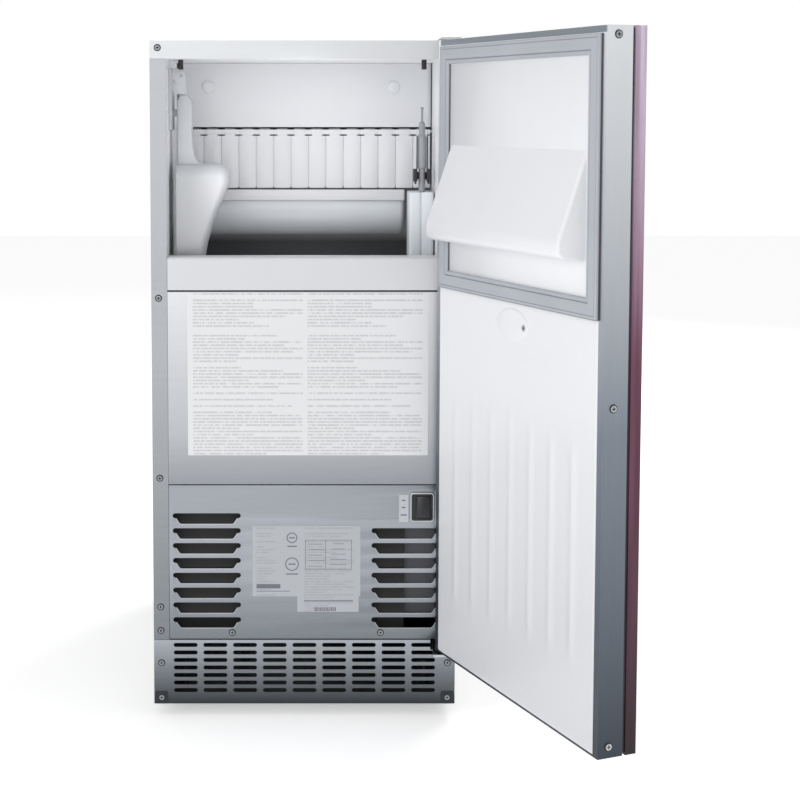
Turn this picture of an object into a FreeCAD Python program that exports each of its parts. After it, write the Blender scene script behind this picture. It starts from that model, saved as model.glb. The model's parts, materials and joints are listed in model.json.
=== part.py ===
import FreeCAD, Part
import Sketcher

import math
import os
import re

# Undercounter clear-ice maker with a panel-ready door.
#
# Millimetres, X to the viewer's right, Y to the back, Z up. The origin is at
# floor level under the middle of the cabinet's front face. The cabinet is
# drawn where it stands. Every piece of the door is drawn shut and then turned
# about the hinge pins to the angle at which the door stands open.

os.makedirs("parts", exist_ok=True)
doc = FreeCAD.newDocument("IceMaker")
sheet = doc.addObject("Spreadsheet::Sheet", "Dims")

DIMENSIONS = {
    # cabinet
    "half_width": 189.0,
    "cabinet_depth": 530.0,
    "cabinet_top": 844.6,
    "cabinet_bottom": 15.0,
    "sheet_metal": 1.2,
    "frame_return": 14.0,
    "rail_bottom": 822.5,
    "opening_half": 169.4,
    "kick_top": 97.0,
    "louvre_low": 98.5,
    "louvre_high": 294.0,
    "service_low": 295.4,
    "service_high": 536.2,
    "sill_low": 538.5,
    "sill_high": 579.5,
    "panel_half": 169.0,
    "rocker_y": 3.0,
    "rocker_z": 266.5,
    # bin and insulation
    "plastic": 2.5,
    "bin_floor": 330.0,
    "bin_back": 470.0,
    "bin_front": 22.0,
    "foam_floor": 305.0,
    # door
    "pin_x": 178.0,
    "pin_y": -18.0,
    "pin_radius": 4.0,
    "pin_reach": 14.0,
    "open_angle": 112.3,
    "door_hinge_edge": 186.0,
    "door_free_edge": -185.0,
    "door_low": 90.0,
    "door_high": 844.2,
    "door_inner": -5.0,
    "door_thickness": 30.0,
    "door_flange": 14.0,
    "trim_margin": 9.0,
    "reveal": 3.5,
    "wood_thickness": 13.0,
    "gasket_low": 546.0,
    "gasket_high": 836.0,
    "gasket_band": 21.0,
    "gasket_height": 4.5,
    # ice making
    "ice_front": 170.0,
    "cover_low": 738.0,
    "cover_back": 345.0,
    "cover_half": 168.4,
    "slat_top": 735.0,
    "slat_low": 657.0,
    "slat_pitch": 23.2,
    "slat_count": 14,
    "slat_gap": 1.2,
    "slat_thick": 2.0,
    "rod_radius": 2.5,
    "trough_low": 591.0,
    "trough_high": 655.0,
    # machine compartment
    "fan_x": -80.0,
    "fan_z": 170.0,
    "fan_radius": 74.0,
    "compressor_x": 85.0,
    "compressor_y": 400.0,
    "compressor_radius": 68.0,
    "foot_x": 155.0,
    "foot_front": 62.0,
    "foot_back": 485.0,
    "foot_radius": 19.0,
}

for row, (alias, size) in enumerate(DIMENSIONS.items(), start=1):
    sheet.set("A%d" % row, alias)
    sheet.set("B%d" % row, str(size))
    sheet.setAlias("B%d" % row, alias)
doc.recompute()

nodes = []
FUNCTIONS = ("sin", "cos", "sqrt")
VECTOR = FreeCAD.Vector
TURNS = {
    "x": FreeCAD.Rotation(VECTOR(0, 1, 0), 90),
    "y": FreeCAD.Rotation(VECTOR(1, 0, 0), -90),
    "z": FreeCAD.Rotation(),
}


def size(alias):
    """The plain number held in one cell of the sheet."""
    return float(sheet.get(alias))


def formula(words):
    """A formula of dimension names, written as an expression on the sheet."""
    def cell(match):
        word = match.group(0)
        return word if word in FUNCTIONS else "Dims." + word
    return re.sub(r"[a-z][a-z_]+", cell, str(words))


def bind(obj, **formulas):
    """Bind properties, such as Length, to formulas of dimension names."""
    for name, words in formulas.items():
        obj.setExpression(name, formula(words))
    return obj


def place(obj, x, y, z, axis="z"):
    """Put an object at a bound position, with its own Z along the axis."""
    obj.Placement = FreeCAD.Placement(VECTOR(), TURNS[axis])
    for name, words in zip("xyz", (x, y, z)):
        obj.setExpression("Placement.Base." + name, formula(words))
    return obj


def block(label, x, y, z):
    """A box between low and high formulas on each axis."""
    obj = doc.addObject("Part::Box", label)
    obj.Label = label
    spans = ["(%s) - (%s)" % (high, low) for low, high in (x, y, z)]
    bind(obj, Length=spans[0], Width=spans[1], Height=spans[2])
    return place(obj, x[0], y[0], z[0])


def rod(label, radius, length, x, y, z, axis="z"):
    """A cylinder that starts at a point and runs along +axis."""
    obj = doc.addObject("Part::Cylinder", label)
    obj.Label = label
    bind(obj, Radius=radius, Height=length)
    return place(obj, x, y, z, axis)


def fuse(label, *pieces):
    """One piece from several that touch."""
    obj = doc.addObject("Part::MultiFuse", label)
    obj.Label = label
    obj.Shapes = list(pieces)
    obj.Refine = True
    return obj


def cut(label, base, *tools):
    """A piece with others taken out of it."""
    obj = doc.addObject("Part::Cut", label)
    obj.Label = label
    obj.Base = base
    obj.Tool = tools[0] if len(tools) == 1 else fuse(label + "_cuts", *tools)
    return obj


def group(label, *pieces):
    """Identical loose pieces, such as screws, kept as separate solids."""
    obj = doc.addObject("Part::Compound", label)
    obj.Label = label
    obj.Links = list(pieces)
    return obj


def shaped(label, shape):
    """A piece whose shape is built from the sheet's numbers."""
    obj = doc.addObject("Part::Feature", label)
    obj.Label = label
    obj.Shape = shape
    return obj


def rounded(label, base, radius, pick):
    """Round the edges of a recomputed object that the test picks."""
    doc.recompute()
    edges = [n for n, edge in enumerate(base.Shape.Edges, start=1) if pick(edge)]
    obj = doc.addObject("Part::Fillet", label)
    obj.Label = label
    obj.Base = base
    obj.Edges = [(n, radius, radius) for n in edges]
    return obj


def along(axis):
    """A test for straight edges that run along one axis."""
    def test(edge):
        if edge.Curve.TypeId != "Part::GeomLine":
            return False
        way = edge.Curve.Direction
        return abs(abs(getattr(way, axis)) - 1) < 1e-6
    return test


def prism(points, axis, low, high):
    """A solid swept along an axis from an outline in the other two axes."""
    corners = []
    for a, b in points:
        corners.append({"x": VECTOR(low, a, b), "y": VECTOR(a, low, b), "z": VECTOR(a, b, low)}[axis])
    face = Part.Face(Part.makePolygon(corners + corners[:1]))
    way = {"x": VECTOR(1, 0, 0), "y": VECTOR(0, 1, 0), "z": VECTOR(0, 0, 1)}[axis]
    return face.extrude(way * (high - low))


def tube(points, radius, bend):
    """A round tube along straight runs joined by tangent bends."""
    places = [VECTOR(*point) for point in points]
    edges = []
    start = places[0]
    for before, corner, after in zip(places, places[1:], places[2:]):
        coming = (corner - before).normalize()
        going = (after - corner).normalize()
        turn = coming.getAngle(going)
        reach = bend * math.tan(turn / 2)
        enter = corner - coming * reach
        leave = corner + going * reach
        inward = (going - coming).normalize()
        middle = corner + inward * (bend / math.cos(turn / 2) - bend)
        edges.append(Part.LineSegment(start, enter).toShape())
        edges.append(Part.Arc(enter, middle, leave).toShape())
        start = leave
    edges.append(Part.LineSegment(start, places[-1]).toShape())
    path = Part.Wire(edges)
    ring = Part.Wire([Part.makeCircle(radius, places[0], places[1] - places[0])])
    return path.makePipeShell([ring], True, False)


def node(obj):
    """Count an object as one sub-part of the ice maker."""
    nodes.append(obj)
    return obj


def door_node(obj):
    """Count a sub-part of the door and swing it open about the pins.

    The sub-part is a boolean or a group, whose own placement is still free.
    """
    obj.Placement = FreeCAD.Placement(VECTOR(), FreeCAD.Rotation(VECTOR(0, 0, 1), size("open_angle")))
    obj.setExpression("Placement.Rotation.Angle", "Dims.open_angle")
    swing_x = "pin_x - pin_x * cos(open_angle * 1 deg) + pin_y * sin(open_angle * 1 deg)"
    swing_y = "pin_y - pin_x * sin(open_angle * 1 deg) - pin_y * cos(open_angle * 1 deg)"
    obj.setExpression("Placement.Base.x", formula(swing_x).replace("Dims.deg", "deg"))
    obj.setExpression("Placement.Base.y", formula(swing_y).replace("Dims.deg", "deg"))
    return node(obj)


def slotted_sheet(label, low, high, thickness):
    """A sheet of the front, as a body with one bound rectangular sketch."""
    body = doc.addObject("PartDesign::Body", label)
    body.Label = label
    plane = [o for o in body.Origin.OriginFeatures if o.Role == "XZ_Plane"][0]
    sketch = body.newObject("Sketcher::SketchObject", label + "_outline")
    sketch.AttachmentSupport = (plane, "")
    sketch.MapMode = "FlatFace"
    rectangle(sketch, low, high)
    pad = body.newObject("PartDesign::Pad", label + "_sheet")
    pad.Profile = sketch
    pad.Reversed = True
    bind(pad, Length=thickness)
    doc.recompute()
    return body


def rectangle(sketch, low, high):
    """A rectangle between two corners, each a pair of bound formulas."""
    corners = [VECTOR(-10, -10, 0), VECTOR(10, -10, 0), VECTOR(10, 10, 0), VECTOR(-10, 10, 0)]
    for start, end in zip(corners, corners[1:] + corners[:1]):
        sketch.addGeometry(Part.LineSegment(start, end), False)
    for side in range(4):
        sketch.addConstraint(Sketcher.Constraint("Coincident", side, 2, (side + 1) % 4, 1))
        way = "Horizontal" if side % 2 == 0 else "Vertical"
        sketch.addConstraint(Sketcher.Constraint(way, side))
    limits = (("DistanceX", 0, 1, low[0]), ("DistanceY", 0, 1, low[1]),
              ("DistanceX", 1, 2, high[0]), ("DistanceY", 2, 2, high[1]))
    for way, line, end, words in limits:
        index = sketch.addConstraint(Sketcher.Constraint(way, -1, 1, line, end, 10.0))
        sketch.setExpression("Constraints[%d]" % index, formula(words))


def slot_pocket(body, label, centres, length, height):
    """Round-ended slots cut through a sheet, at centres in its own plane."""
    plane = [o for o in body.Origin.OriginFeatures if o.Role == "XZ_Plane"][0]
    sketch = body.newObject("Sketcher::SketchObject", label)
    sketch.AttachmentSupport = (plane, "")
    sketch.MapMode = "FlatFace"
    end = height / 2
    reach = length / 2 - end
    for x, z in centres:
        for side, level in ((1, z - end), (-1, z + end)):
            first = VECTOR(x - side * reach, level, 0)
            last = VECTOR(x + side * reach, level, 0)
            sketch.addGeometry(Part.LineSegment(first, last), False)
        for side in (1, -1):
            low = VECTOR(x + side * reach, z - side * end, 0)
            far = VECTOR(x + side * (reach + end), z, 0)
            top = VECTOR(x + side * reach, z + side * end, 0)
            sketch.addGeometry(Part.Arc(low, far, top), False)
    pocket = body.newObject("PartDesign::Pocket", label + "_cut")
    pocket.Profile = sketch
    pocket.Type = "ThroughAll"
    pocket.Midplane = True
    before = body.Shape.Volume
    doc.recompute()
    assert body.Shape.Volume < before, label + " cuts nothing"
    return pocket


# ---------------------------------------------------------------- cabinet

def cabinet_shell():
    """Outer wrapper, back, base and the frame round the front."""
    wrap = block("wrapper_outside", ("-half_width", "half_width"),
                 ("frame_return", "cabinet_depth - sheet_metal"),
                 ("cabinet_bottom", "cabinet_top"))
    hollow = block("wrapper_hollow", ("-half_width + sheet_metal", "half_width - sheet_metal"),
                   ("0", "cabinet_depth"), ("0", "cabinet_top - sheet_metal"))
    node(cut("outer_wrapper", wrap, hollow))

    back = block("rear_sheet", ("-half_width", "half_width"),
                 ("cabinet_depth - sheet_metal", "cabinet_depth"),
                 ("cabinet_bottom", "cabinet_top"))
    holes = (rod("inlet_hole", 11, 8, "-120", "cabinet_depth - 4", "80", "y"),
             rod("drain_hole", 11, 8, "-60", "cabinet_depth - 4", "60", "y"),
             block("power_hole", ("100", "148"), ("cabinet_depth - 4", "cabinet_depth + 4"), ("56", "84")))
    vents = []
    for row in range(5):
        level = 130 + row * 24
        vents.append(block("rear_vent_%d" % row, ("-120", "60"), ("cabinet_depth - 4", "cabinet_depth + 4"),
                           (level, level + 7)))
    node(cut("rear_panel", back, *holes, *vents))

    tray = block("pan_outside", ("-half_width + sheet_metal", "half_width - sheet_metal"),
                 ("frame_return", "cabinet_depth - sheet_metal"), ("cabinet_bottom", "cabinet_bottom + 22"))
    inside = block("pan_inside", ("-half_width + 2 * sheet_metal", "half_width - 2 * sheet_metal"),
                   ("0", "cabinet_depth - 2 * sheet_metal"), ("cabinet_bottom + 2", "cabinet_bottom + 30"))
    holes = []
    for name, x, y in foot_places():
        holes.append(rod("pan_hole_" + name, 5.1, 20, x, y, "cabinet_bottom - 8"))
    node(cut("base_pan", tray, inside, *holes))

    face = block("rail_face", ("-half_width", "half_width"), ("0", "sheet_metal"),
                 ("rail_bottom", "cabinet_top"))
    shelf = block("rail_return", ("-half_width", "half_width"), ("sheet_metal", "frame_return"),
                  ("cabinet_top - sheet_metal", "cabinet_top"))
    ends = side_returns("rail", "rail_bottom", "cabinet_top - sheet_metal")
    node(fuse("front_top_rail", face, shelf, *ends))

    for side, inner, outer in (("left", "-opening_half", "-half_width"),
                               ("right", "opening_half", "half_width")):
        low, high = (outer, inner) if side == "left" else (inner, outer)
        face = block(side + "_stile_face", (low, high), ("0", "sheet_metal"),
                     ("kick_top + 0.5", "rail_bottom - 0.3"))
        edge = (outer, outer + " + sheet_metal") if side == "left" else (outer + " - sheet_metal", outer)
        lip = block(side + "_stile_return", edge, ("sheet_metal", "frame_return"),
                    ("kick_top + 0.5", "rail_bottom - 0.3"))
        node(fuse("front_%s_stile" % side, face, lip))


def side_returns(label, low, high):
    """The two ends of a front sheet, turned back to meet the wrapper."""
    depth = ("sheet_metal", "frame_return")
    return (block(label + "_left_end", ("-half_width", "-half_width + sheet_metal"), depth, (low, high)),
            block(label + "_right_end", ("half_width - sheet_metal", "half_width"), depth, (low, high)))


def foot_places():
    """Name and plan position of each levelling foot."""
    return (("front_left", "-foot_x", "foot_front"), ("front_right", "foot_x", "foot_front"),
            ("rear_left", "-foot_x", "foot_back"), ("rear_right", "foot_x", "foot_back"))


def feet():
    """Four levelling feet, screwed right in, each with its stem in the base."""
    for name, x, y in foot_places():
        pad = doc.addObject("Part::Cone", "foot_pad_" + name)
        bind(pad, Radius1="foot_radius", Radius2="foot_radius - 5", Height="9")
        place(pad, x, y, "0")
        nut = rod("foot_nut_" + name, 9, 5.6, x, y, "9")
        stem = rod("foot_stem_" + name, 5, 42, x, y, "9")
        node(fuse("levelling_foot_" + name, pad, nut, stem))


def front_panels():
    """Service panel, louvre panel, kickplate and what is fixed to them."""
    node(slotted_sheet("service_panel", ("-panel_half", "service_low"), ("panel_half", "service_high"),
                       "sheet_metal"))
    node(block("instruction_sheet", ("-144.6", "153.5"), ("-0.3", "0"), ("332", "534.8")))
    label = block("label_main", ("-65", "70"), ("-0.3", "0"), ("153", "242.6"))
    tail = block("label_tail", ("-9", "68"), ("-0.3", "0"), ("133", "153"))
    node(fuse("rating_label", label, tail))

    sheet_body = slotted_sheet("louvre_sheet", ("-panel_half", "louvre_low"), ("panel_half", "louvre_high"),
                               "sheet_metal")
    centres = [(-121.5, 255.0 - 18.93 * row) for row in range(8)]
    centres += [(125.2, 255.0 - 18.93 * row) for row in range(1, 8)]
    slot_pocket(sheet_body, "louvre_slots", centres, 82.0, 7.0)
    hood = [(0.0, -7.5), (-2.4, -1.5), (-2.4, 0.5), (-1.4, 0.5), (0.0, -3.6)]
    hoods = []
    for number, (x, z) in enumerate(centres):
        outline = [(y, z + level) for y, level in hood]
        hoods.append(shaped("louvre_hood_%d" % number, prism(outline, "x", x - 38, x + 38)))
    switch_hole = block("switch_hole", ("135", "159.5"), ("-5", "5"), ("251", "282"))
    node(cut("louvre_panel", fuse("louvre_stamping", sheet_body, *hoods), switch_hole))

    kick = slotted_sheet("kick_sheet", ("-half_width", "cabinet_bottom"), ("half_width", "kick_top"),
                         "sheet_metal")
    columns = [-149.2 + 37.3 * k for k in range(9)]
    rows = [91.5 - 9.68 * k for k in range(7)]
    slot_pocket(kick, "kick_slots", [(x, z - 1.0) for x in columns for z in rows], 30.0, 5.2)
    notch = block("kick_notch", ("158", "190"), ("-1", "3"), ("84.4", "98"))
    turned = fuse("kick_turned", kick, *side_returns("kick", "cabinet_bottom", "kick_top - sheet_metal"))
    node(cut("kickplate", turned, notch))

    outside = block("bezel_outside", ("132", "162"), ("-2.2", "0"), ("248", "285"))
    body = block("bezel_body", ("135.2", "159.3"), ("0", "22"), ("251.2", "281.8"))
    well = block("bezel_well", ("140.2", "157.6"), ("-5", "16"), ("252.6", "280.4"))
    seat = rod("bezel_pivot_seat", 1.7, 19.4, "139.2", "rocker_y", "rocker_z", "x")
    node(cut("switch_bezel", fuse("bezel_solid", outside, body), well, seat))


def screws():
    """Pan-head screws of the cabinet front, one group of loose solids."""
    sites = [(-90.6, 106.5), (95.4, 106.5), (-179.3, 836.0), (179.3, 834.0)]
    for level in (528.5, 303.0, 139.4, 109.0):
        sites += [(-180.0, level), (180.0, level)]
    sites += [(-179.5, 67.7), (179.5, 67.7), (-179.5, 23.0), (179.5, 23.0)]
    heads = []
    for number, (x, z) in enumerate(sites):
        washer = rod("screw_head_%d" % number, 4.2, 0.3, x, "-0.3", z, "y")
        heads.append(washer)
    node(group("frame_screws", *heads))


def bin_parts():
    """Liner of the ice bin, the foam round it and the sill at its mouth."""
    wall = "opening_half + plastic"
    upper = block("liner_upper", ("-(%s)" % wall, wall), ("1.5", "bin_back + plastic"),
                  ("sill_high - 2 * plastic", "rail_bottom + plastic"))
    lower = block("liner_lower", ("-(%s)" % wall, wall), ("bin_front", "bin_back + plastic"),
                  ("bin_floor - plastic", "sill_high - 2 * plastic"))
    room = block("liner_room", ("-opening_half", "opening_half"), ("bin_front + plastic", "bin_back"),
                 ("bin_floor", "rail_bottom"))
    mouth = block("liner_mouth", ("-opening_half", "opening_half"), ("0", "bin_back"),
                  ("sill_high - 2 * plastic", "rail_bottom"))
    drain = rod("liner_drain", 9, 20, "-60", "430", "bin_floor - 10")
    pipe_hole = rod("liner_pipe_hole", 6, 20, "130", "bin_back - 8", "783.2", "y")
    node(cut("bin_liner", fuse("liner_block", upper, lower), room, mouth, drain, pipe_hole))

    side = "half_width - sheet_metal - 0.2"
    foam = block("foam_block", ("-(%s)" % side, side), ("1.5", "cabinet_depth - sheet_metal - 0.2"),
                 ("foam_floor", "cabinet_top - sheet_metal - 0.2"))
    gap = "(plastic + 0.1)"
    bed_upper = block("foam_bed_upper", ("-opening_half - %s" % gap, "opening_half + %s" % gap),
                      ("0", "bin_back + %s" % gap), ("sill_high - 2 * plastic - 0.1",
                                                     "rail_bottom + %s" % gap))
    bed_lower = block("foam_bed_lower", ("-opening_half - %s" % gap, "opening_half + %s" % gap),
                      ("bin_front - 0.1", "bin_back + %s" % gap), ("bin_floor - %s" % gap, "sill_high"))
    sill_room = block("foam_sill_room", ("-opening_half - %s" % gap, "opening_half + %s" % gap),
                      ("0", "bin_front"),
                      ("sill_low", "sill_high"))
    passage = rod("foam_drain", 12, 60, "-60", "430", "foam_floor - 10")
    pipes = rod("foam_pipe_way", 16, 490, "120", "500", "foam_floor - 10")
    elbow = block("foam_pipe_elbow", ("104", "136"), ("bin_back", "500"), ("775", "785 + 7"))
    node(cut("insulation_foam", foam, bed_upper, bed_lower, sill_room, passage, pipes, elbow))

    face = block("sill_face", ("-panel_half", "panel_half"), ("0", "plastic"), ("sill_low", "sill_high"))
    top = block("sill_top", ("-panel_half", "panel_half"), ("plastic", "bin_front + plastic + 2"),
                ("sill_high - plastic + 0.1", "sill_high"))
    sill = fuse("sill_blank", face, top)
    def lip(edge):
        box = edge.BoundBox
        return along("x")(edge) and box.YMax < 0.1 and box.ZMin > size("sill_high") - 0.1
    node(rounded("bin_sill", sill, 2.0, lip))


# ------------------------------------------------------------- ice making

def evaporator():
    """Cover, upside-down cell plate, its tubing and the spray bar."""
    outside = block("cover_outside", ("-cover_half", "cover_half"), ("ice_front", "cover_back"),
                    ("cover_low", "rail_bottom - 0.3"))
    inside = block("cover_inside", ("plastic - cover_half", "cover_half - plastic"),
                   ("ice_front + plastic", "cover_back - plastic"),
                   ("cover_low - 5", "rail_bottom - plastic"))
    button_sites = (-128, 118)
    holes = []
    for number, x in enumerate(button_sites):
        holes.append(rod("cover_hole_%d" % number, 4, 10, x, "ice_front - 2", "791", "y"))
    holes.append(rod("cover_pipe_hole", 6, 20, "130", "cover_back - 10", "783.2", "y"))
    node(cut("evaporator_cover", outside, inside, *holes))
    caps = []
    for number, x in enumerate(button_sites):
        head = rod("button_head_%d" % number, 8.5, 1.8, x, "ice_front - 1.8", "791", "y")
        peg = rod("button_peg_%d" % number, 3.9, 8, x, "ice_front", "791", "y")
        caps.append(fuse("button_%d" % number, head, peg))
    node(group("cover_buttons", *caps))

    plate = block("cell_block", ("-140", "140"), ("195", "325"), ("750", "778"))
    cells = []
    for column in range(7):
        for line in range(3):
            x = -120 + column * 40
            y = 218 + line * 42
            cells.append(block("cell_%d_%d" % (column, line), (x - 16, x + 16), (y - 17, y + 17),
                               ("740", "774")))
    node(cut("evaporator_plate", plate, *cells))

    runs = [(130, 344, 783.2)]
    for line in range(4):
        y = 310 - line * 32
        ends = [(130, y, 783.2), (-130, y, 783.2)]
        runs += ends if line % 2 == 0 else ends[::-1]
    node(shaped("evaporator_tubing", tube(runs, 5.0, 15.0)))

    header = rod("spray_header", 7, 240, "-120", "260", "668", "x")
    jets = []
    for column in range(6):
        jets.append(rod("spray_jet_%d" % column, 4, 12, -100 + column * 40, "260", "672"))
    node(fuse("spray_bar", header, *jets))


def curtain():
    """Row of hanging slats that ice pushes open, and the rod they hang on."""
    node(rod("curtain_rod", "rod_radius", "2 * opening_half - 0.4", "0.2 - opening_half", "ice_front + 6",
             "slat_top - 3", "x"))
    slats = []
    for number in range(int(size("slat_count"))):
        left = "-157 + %d * slat_pitch" % number
        right = left + " + slat_pitch - slat_gap"
        blade = block("slat_blade_%d" % number, (left, right), ("ice_front", "ice_front + slat_thick"),
                      ("slat_low", "slat_top"))
        knuckle = rod("slat_knuckle_%d" % number, "rod_radius + 2.2", "slat_pitch - slat_gap - 8",
                      left + " + 4", "ice_front + 6", "slat_top - 3", "x")
        web = block("slat_web_%d" % number, (left + " + 4", right + " - 4"),
                    ("ice_front + 1", "ice_front + 6"),
                    ("slat_top - 5", "slat_top - 1"))
        bore = rod("slat_bore_%d" % number, "rod_radius + 0.3", "slat_pitch", left, "ice_front + 6",
                   "slat_top - 3", "x")
        slats.append(cut("slat_%d" % number, fuse("slat_solid_%d" % number, blade, knuckle, web), bore))
    node(group("curtain_slats", *slats))


def water_side():
    """Curved trough, pump and its cover, riser tube and clips."""
    front = size("ice_front")
    low = size("trough_low")
    high = size("trough_high")
    ledge = high - 15
    outer = [(front + 4, ledge), (front + 4, low + 34)]
    sweep = 8
    for step in range(1, sweep):
        angle = math.radians(90 * step / sweep)
        outer.append((front + 4 + 60 * (1 - math.cos(angle)), low + 34 - 34 * math.sin(angle)))
    outer += [(front + 64, low), (335, low), (335, ledge)]
    shell = prism(outer, "x", -165.0, 133.0)
    basin = prism([(y + 2.5 if y < 300 else y - 2.5, z + (2.5 if z < ledge else 8)) for y, z in outer],
                  "x", -162.5, 130.5)
    rim = Part.makeBox(298, 14, 15, VECTOR(-165, front - 4, ledge))
    rim = rim.cut(Part.makeBox(293, 14, 20, VECTOR(-162.5, front + 1, ledge - 2)))
    body = shell.cut(basin).fuse(rim).removeSplitter()
    node(shaped("water_trough", body))

    case = block("pump_case", ("135.5", "167.5"), ("108", "158"), ("566", "654"))
    hollow = block("pump_hollow", ("138", "165"), ("110.5", "155.5"), ("560", "651.5"))
    groove = block("pump_groove", ("150.5", "153"), ("106", "109.2"), ("560", "660"))
    port = rod("pump_port", 6.9, 10, "152.5", "120", "648")
    node(cut("pump_cover", case, hollow, groove, port))
    motor = rod("pump_motor_can", 11.5, 34, "151.5", "138", "614")
    shaft = rod("pump_shaft", 2, 40, "151.5", "138", "575")
    node(fuse("water_pump", motor, shaft))
    hub = rod("impeller_hub", 4.5, 10, "151.5", "138", "577")
    vanes = []
    for turn in range(4):
        vane = doc.addObject("Part::Box", "impeller_vane_%d" % turn)
        bind(vane, Length="9.5", Width="1.4", Height="8")
        place(vane, "151.5", "138", "578")
        vane.Placement.Rotation = FreeCAD.Rotation(VECTOR(0, 0, 1), 90 * turn)
        vanes.append(vane)
    bore = rod("impeller_bore", 2.05, 20, "151.5", "138", "570")
    node(cut("pump_impeller", fuse("impeller_solid", hub, *vanes), bore))

    pipe = rod("riser_pipe", 4.2, 40, "152.5", "120", "648")
    wide = rod("riser_wide", 6.4, 43, "152.5", "120", "685")
    neck = rod("riser_neck", 4.0, 17, "152.5", "120", "727.9")
    probe = rod("riser_probe", 1.4, 20, "152.5", "120", "744")
    node(fuse("riser_tube", pipe, wide, neck, probe))
    clips = [block("riser_clip_left", ("141.2", "146.2"), ("112", "128"), ("667", "683")),
             block("riser_clip_right", ("157", "161.5"), ("112", "128"), ("667", "683"))]
    bridge = block("riser_clip_bridge", ("141.2", "161.5"), ("126", "129"), ("670", "680"))
    riser_clip = cut("riser_clip", fuse("riser_clip_solid", bridge, *clips),
                     rod("riser_clip_bore", 4.25, 40,
                                                                                 "152.5", "120", "655"))
    ceiling = []
    for side, x in (("left", "-157"), ("right", "146")):
        ceiling.append(block("ceiling_clip_" + side, (x, x + " + 6"), ("36", "44"), ("810", "rail_bottom")))
    node(group("pipe_clips", riser_clip, *ceiling))


def scoop():
    """Ice scoop hanging from a hook on the left wall, handle up."""
    near = 34.0
    far = 100.0
    outline = [(-160, 566), (-140, 563), (-118, 600), (-104, 650), (-93.5, 668), (-96, 676), (-104, 679),
               (-141, 684), (-160, 684)]
    bowl = prism(outline, "y", near, far)
    inner = [(-157.5, 560), (-138, 556), (-100, 620), (-80, 672), (-104, 676.4), (-141, 681.4),
             (-157.5, 681.4)]
    bowl = bowl.cut(prism(inner, "y", near + 2.4, far - 2.4))
    handle = prism([(-160, 680), (-146, 682), (-141, 690), (-141, 772), (-146, 780), (-155, 780),
                    (-160, 772)],
                   "y", near + 20, far - 20)
    slot = Part.makeBox(23.5, 12, 50.5, VECTOR(-170, (near + far) / 2 - 6, 717))
    node(shaped("ice_scoop", bowl.fuse(handle).cut(slot).removeSplitter()))

    plate = block("hanger_plate", ("-opening_half", "-opening_half + 4"), ("40", "94"), ("730", "812"))
    peg = block("hanger_peg", ("-opening_half + 4", "-148"), ("62.5", "71.5"), ("752", "762"))
    tip = block("hanger_tip", ("-151", "-148"), ("62.5", "71.5"), ("752", "767"))
    node(fuse("scoop_hanger", plate, peg, tip))


# -------------------------------------------------- machine compartment

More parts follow.
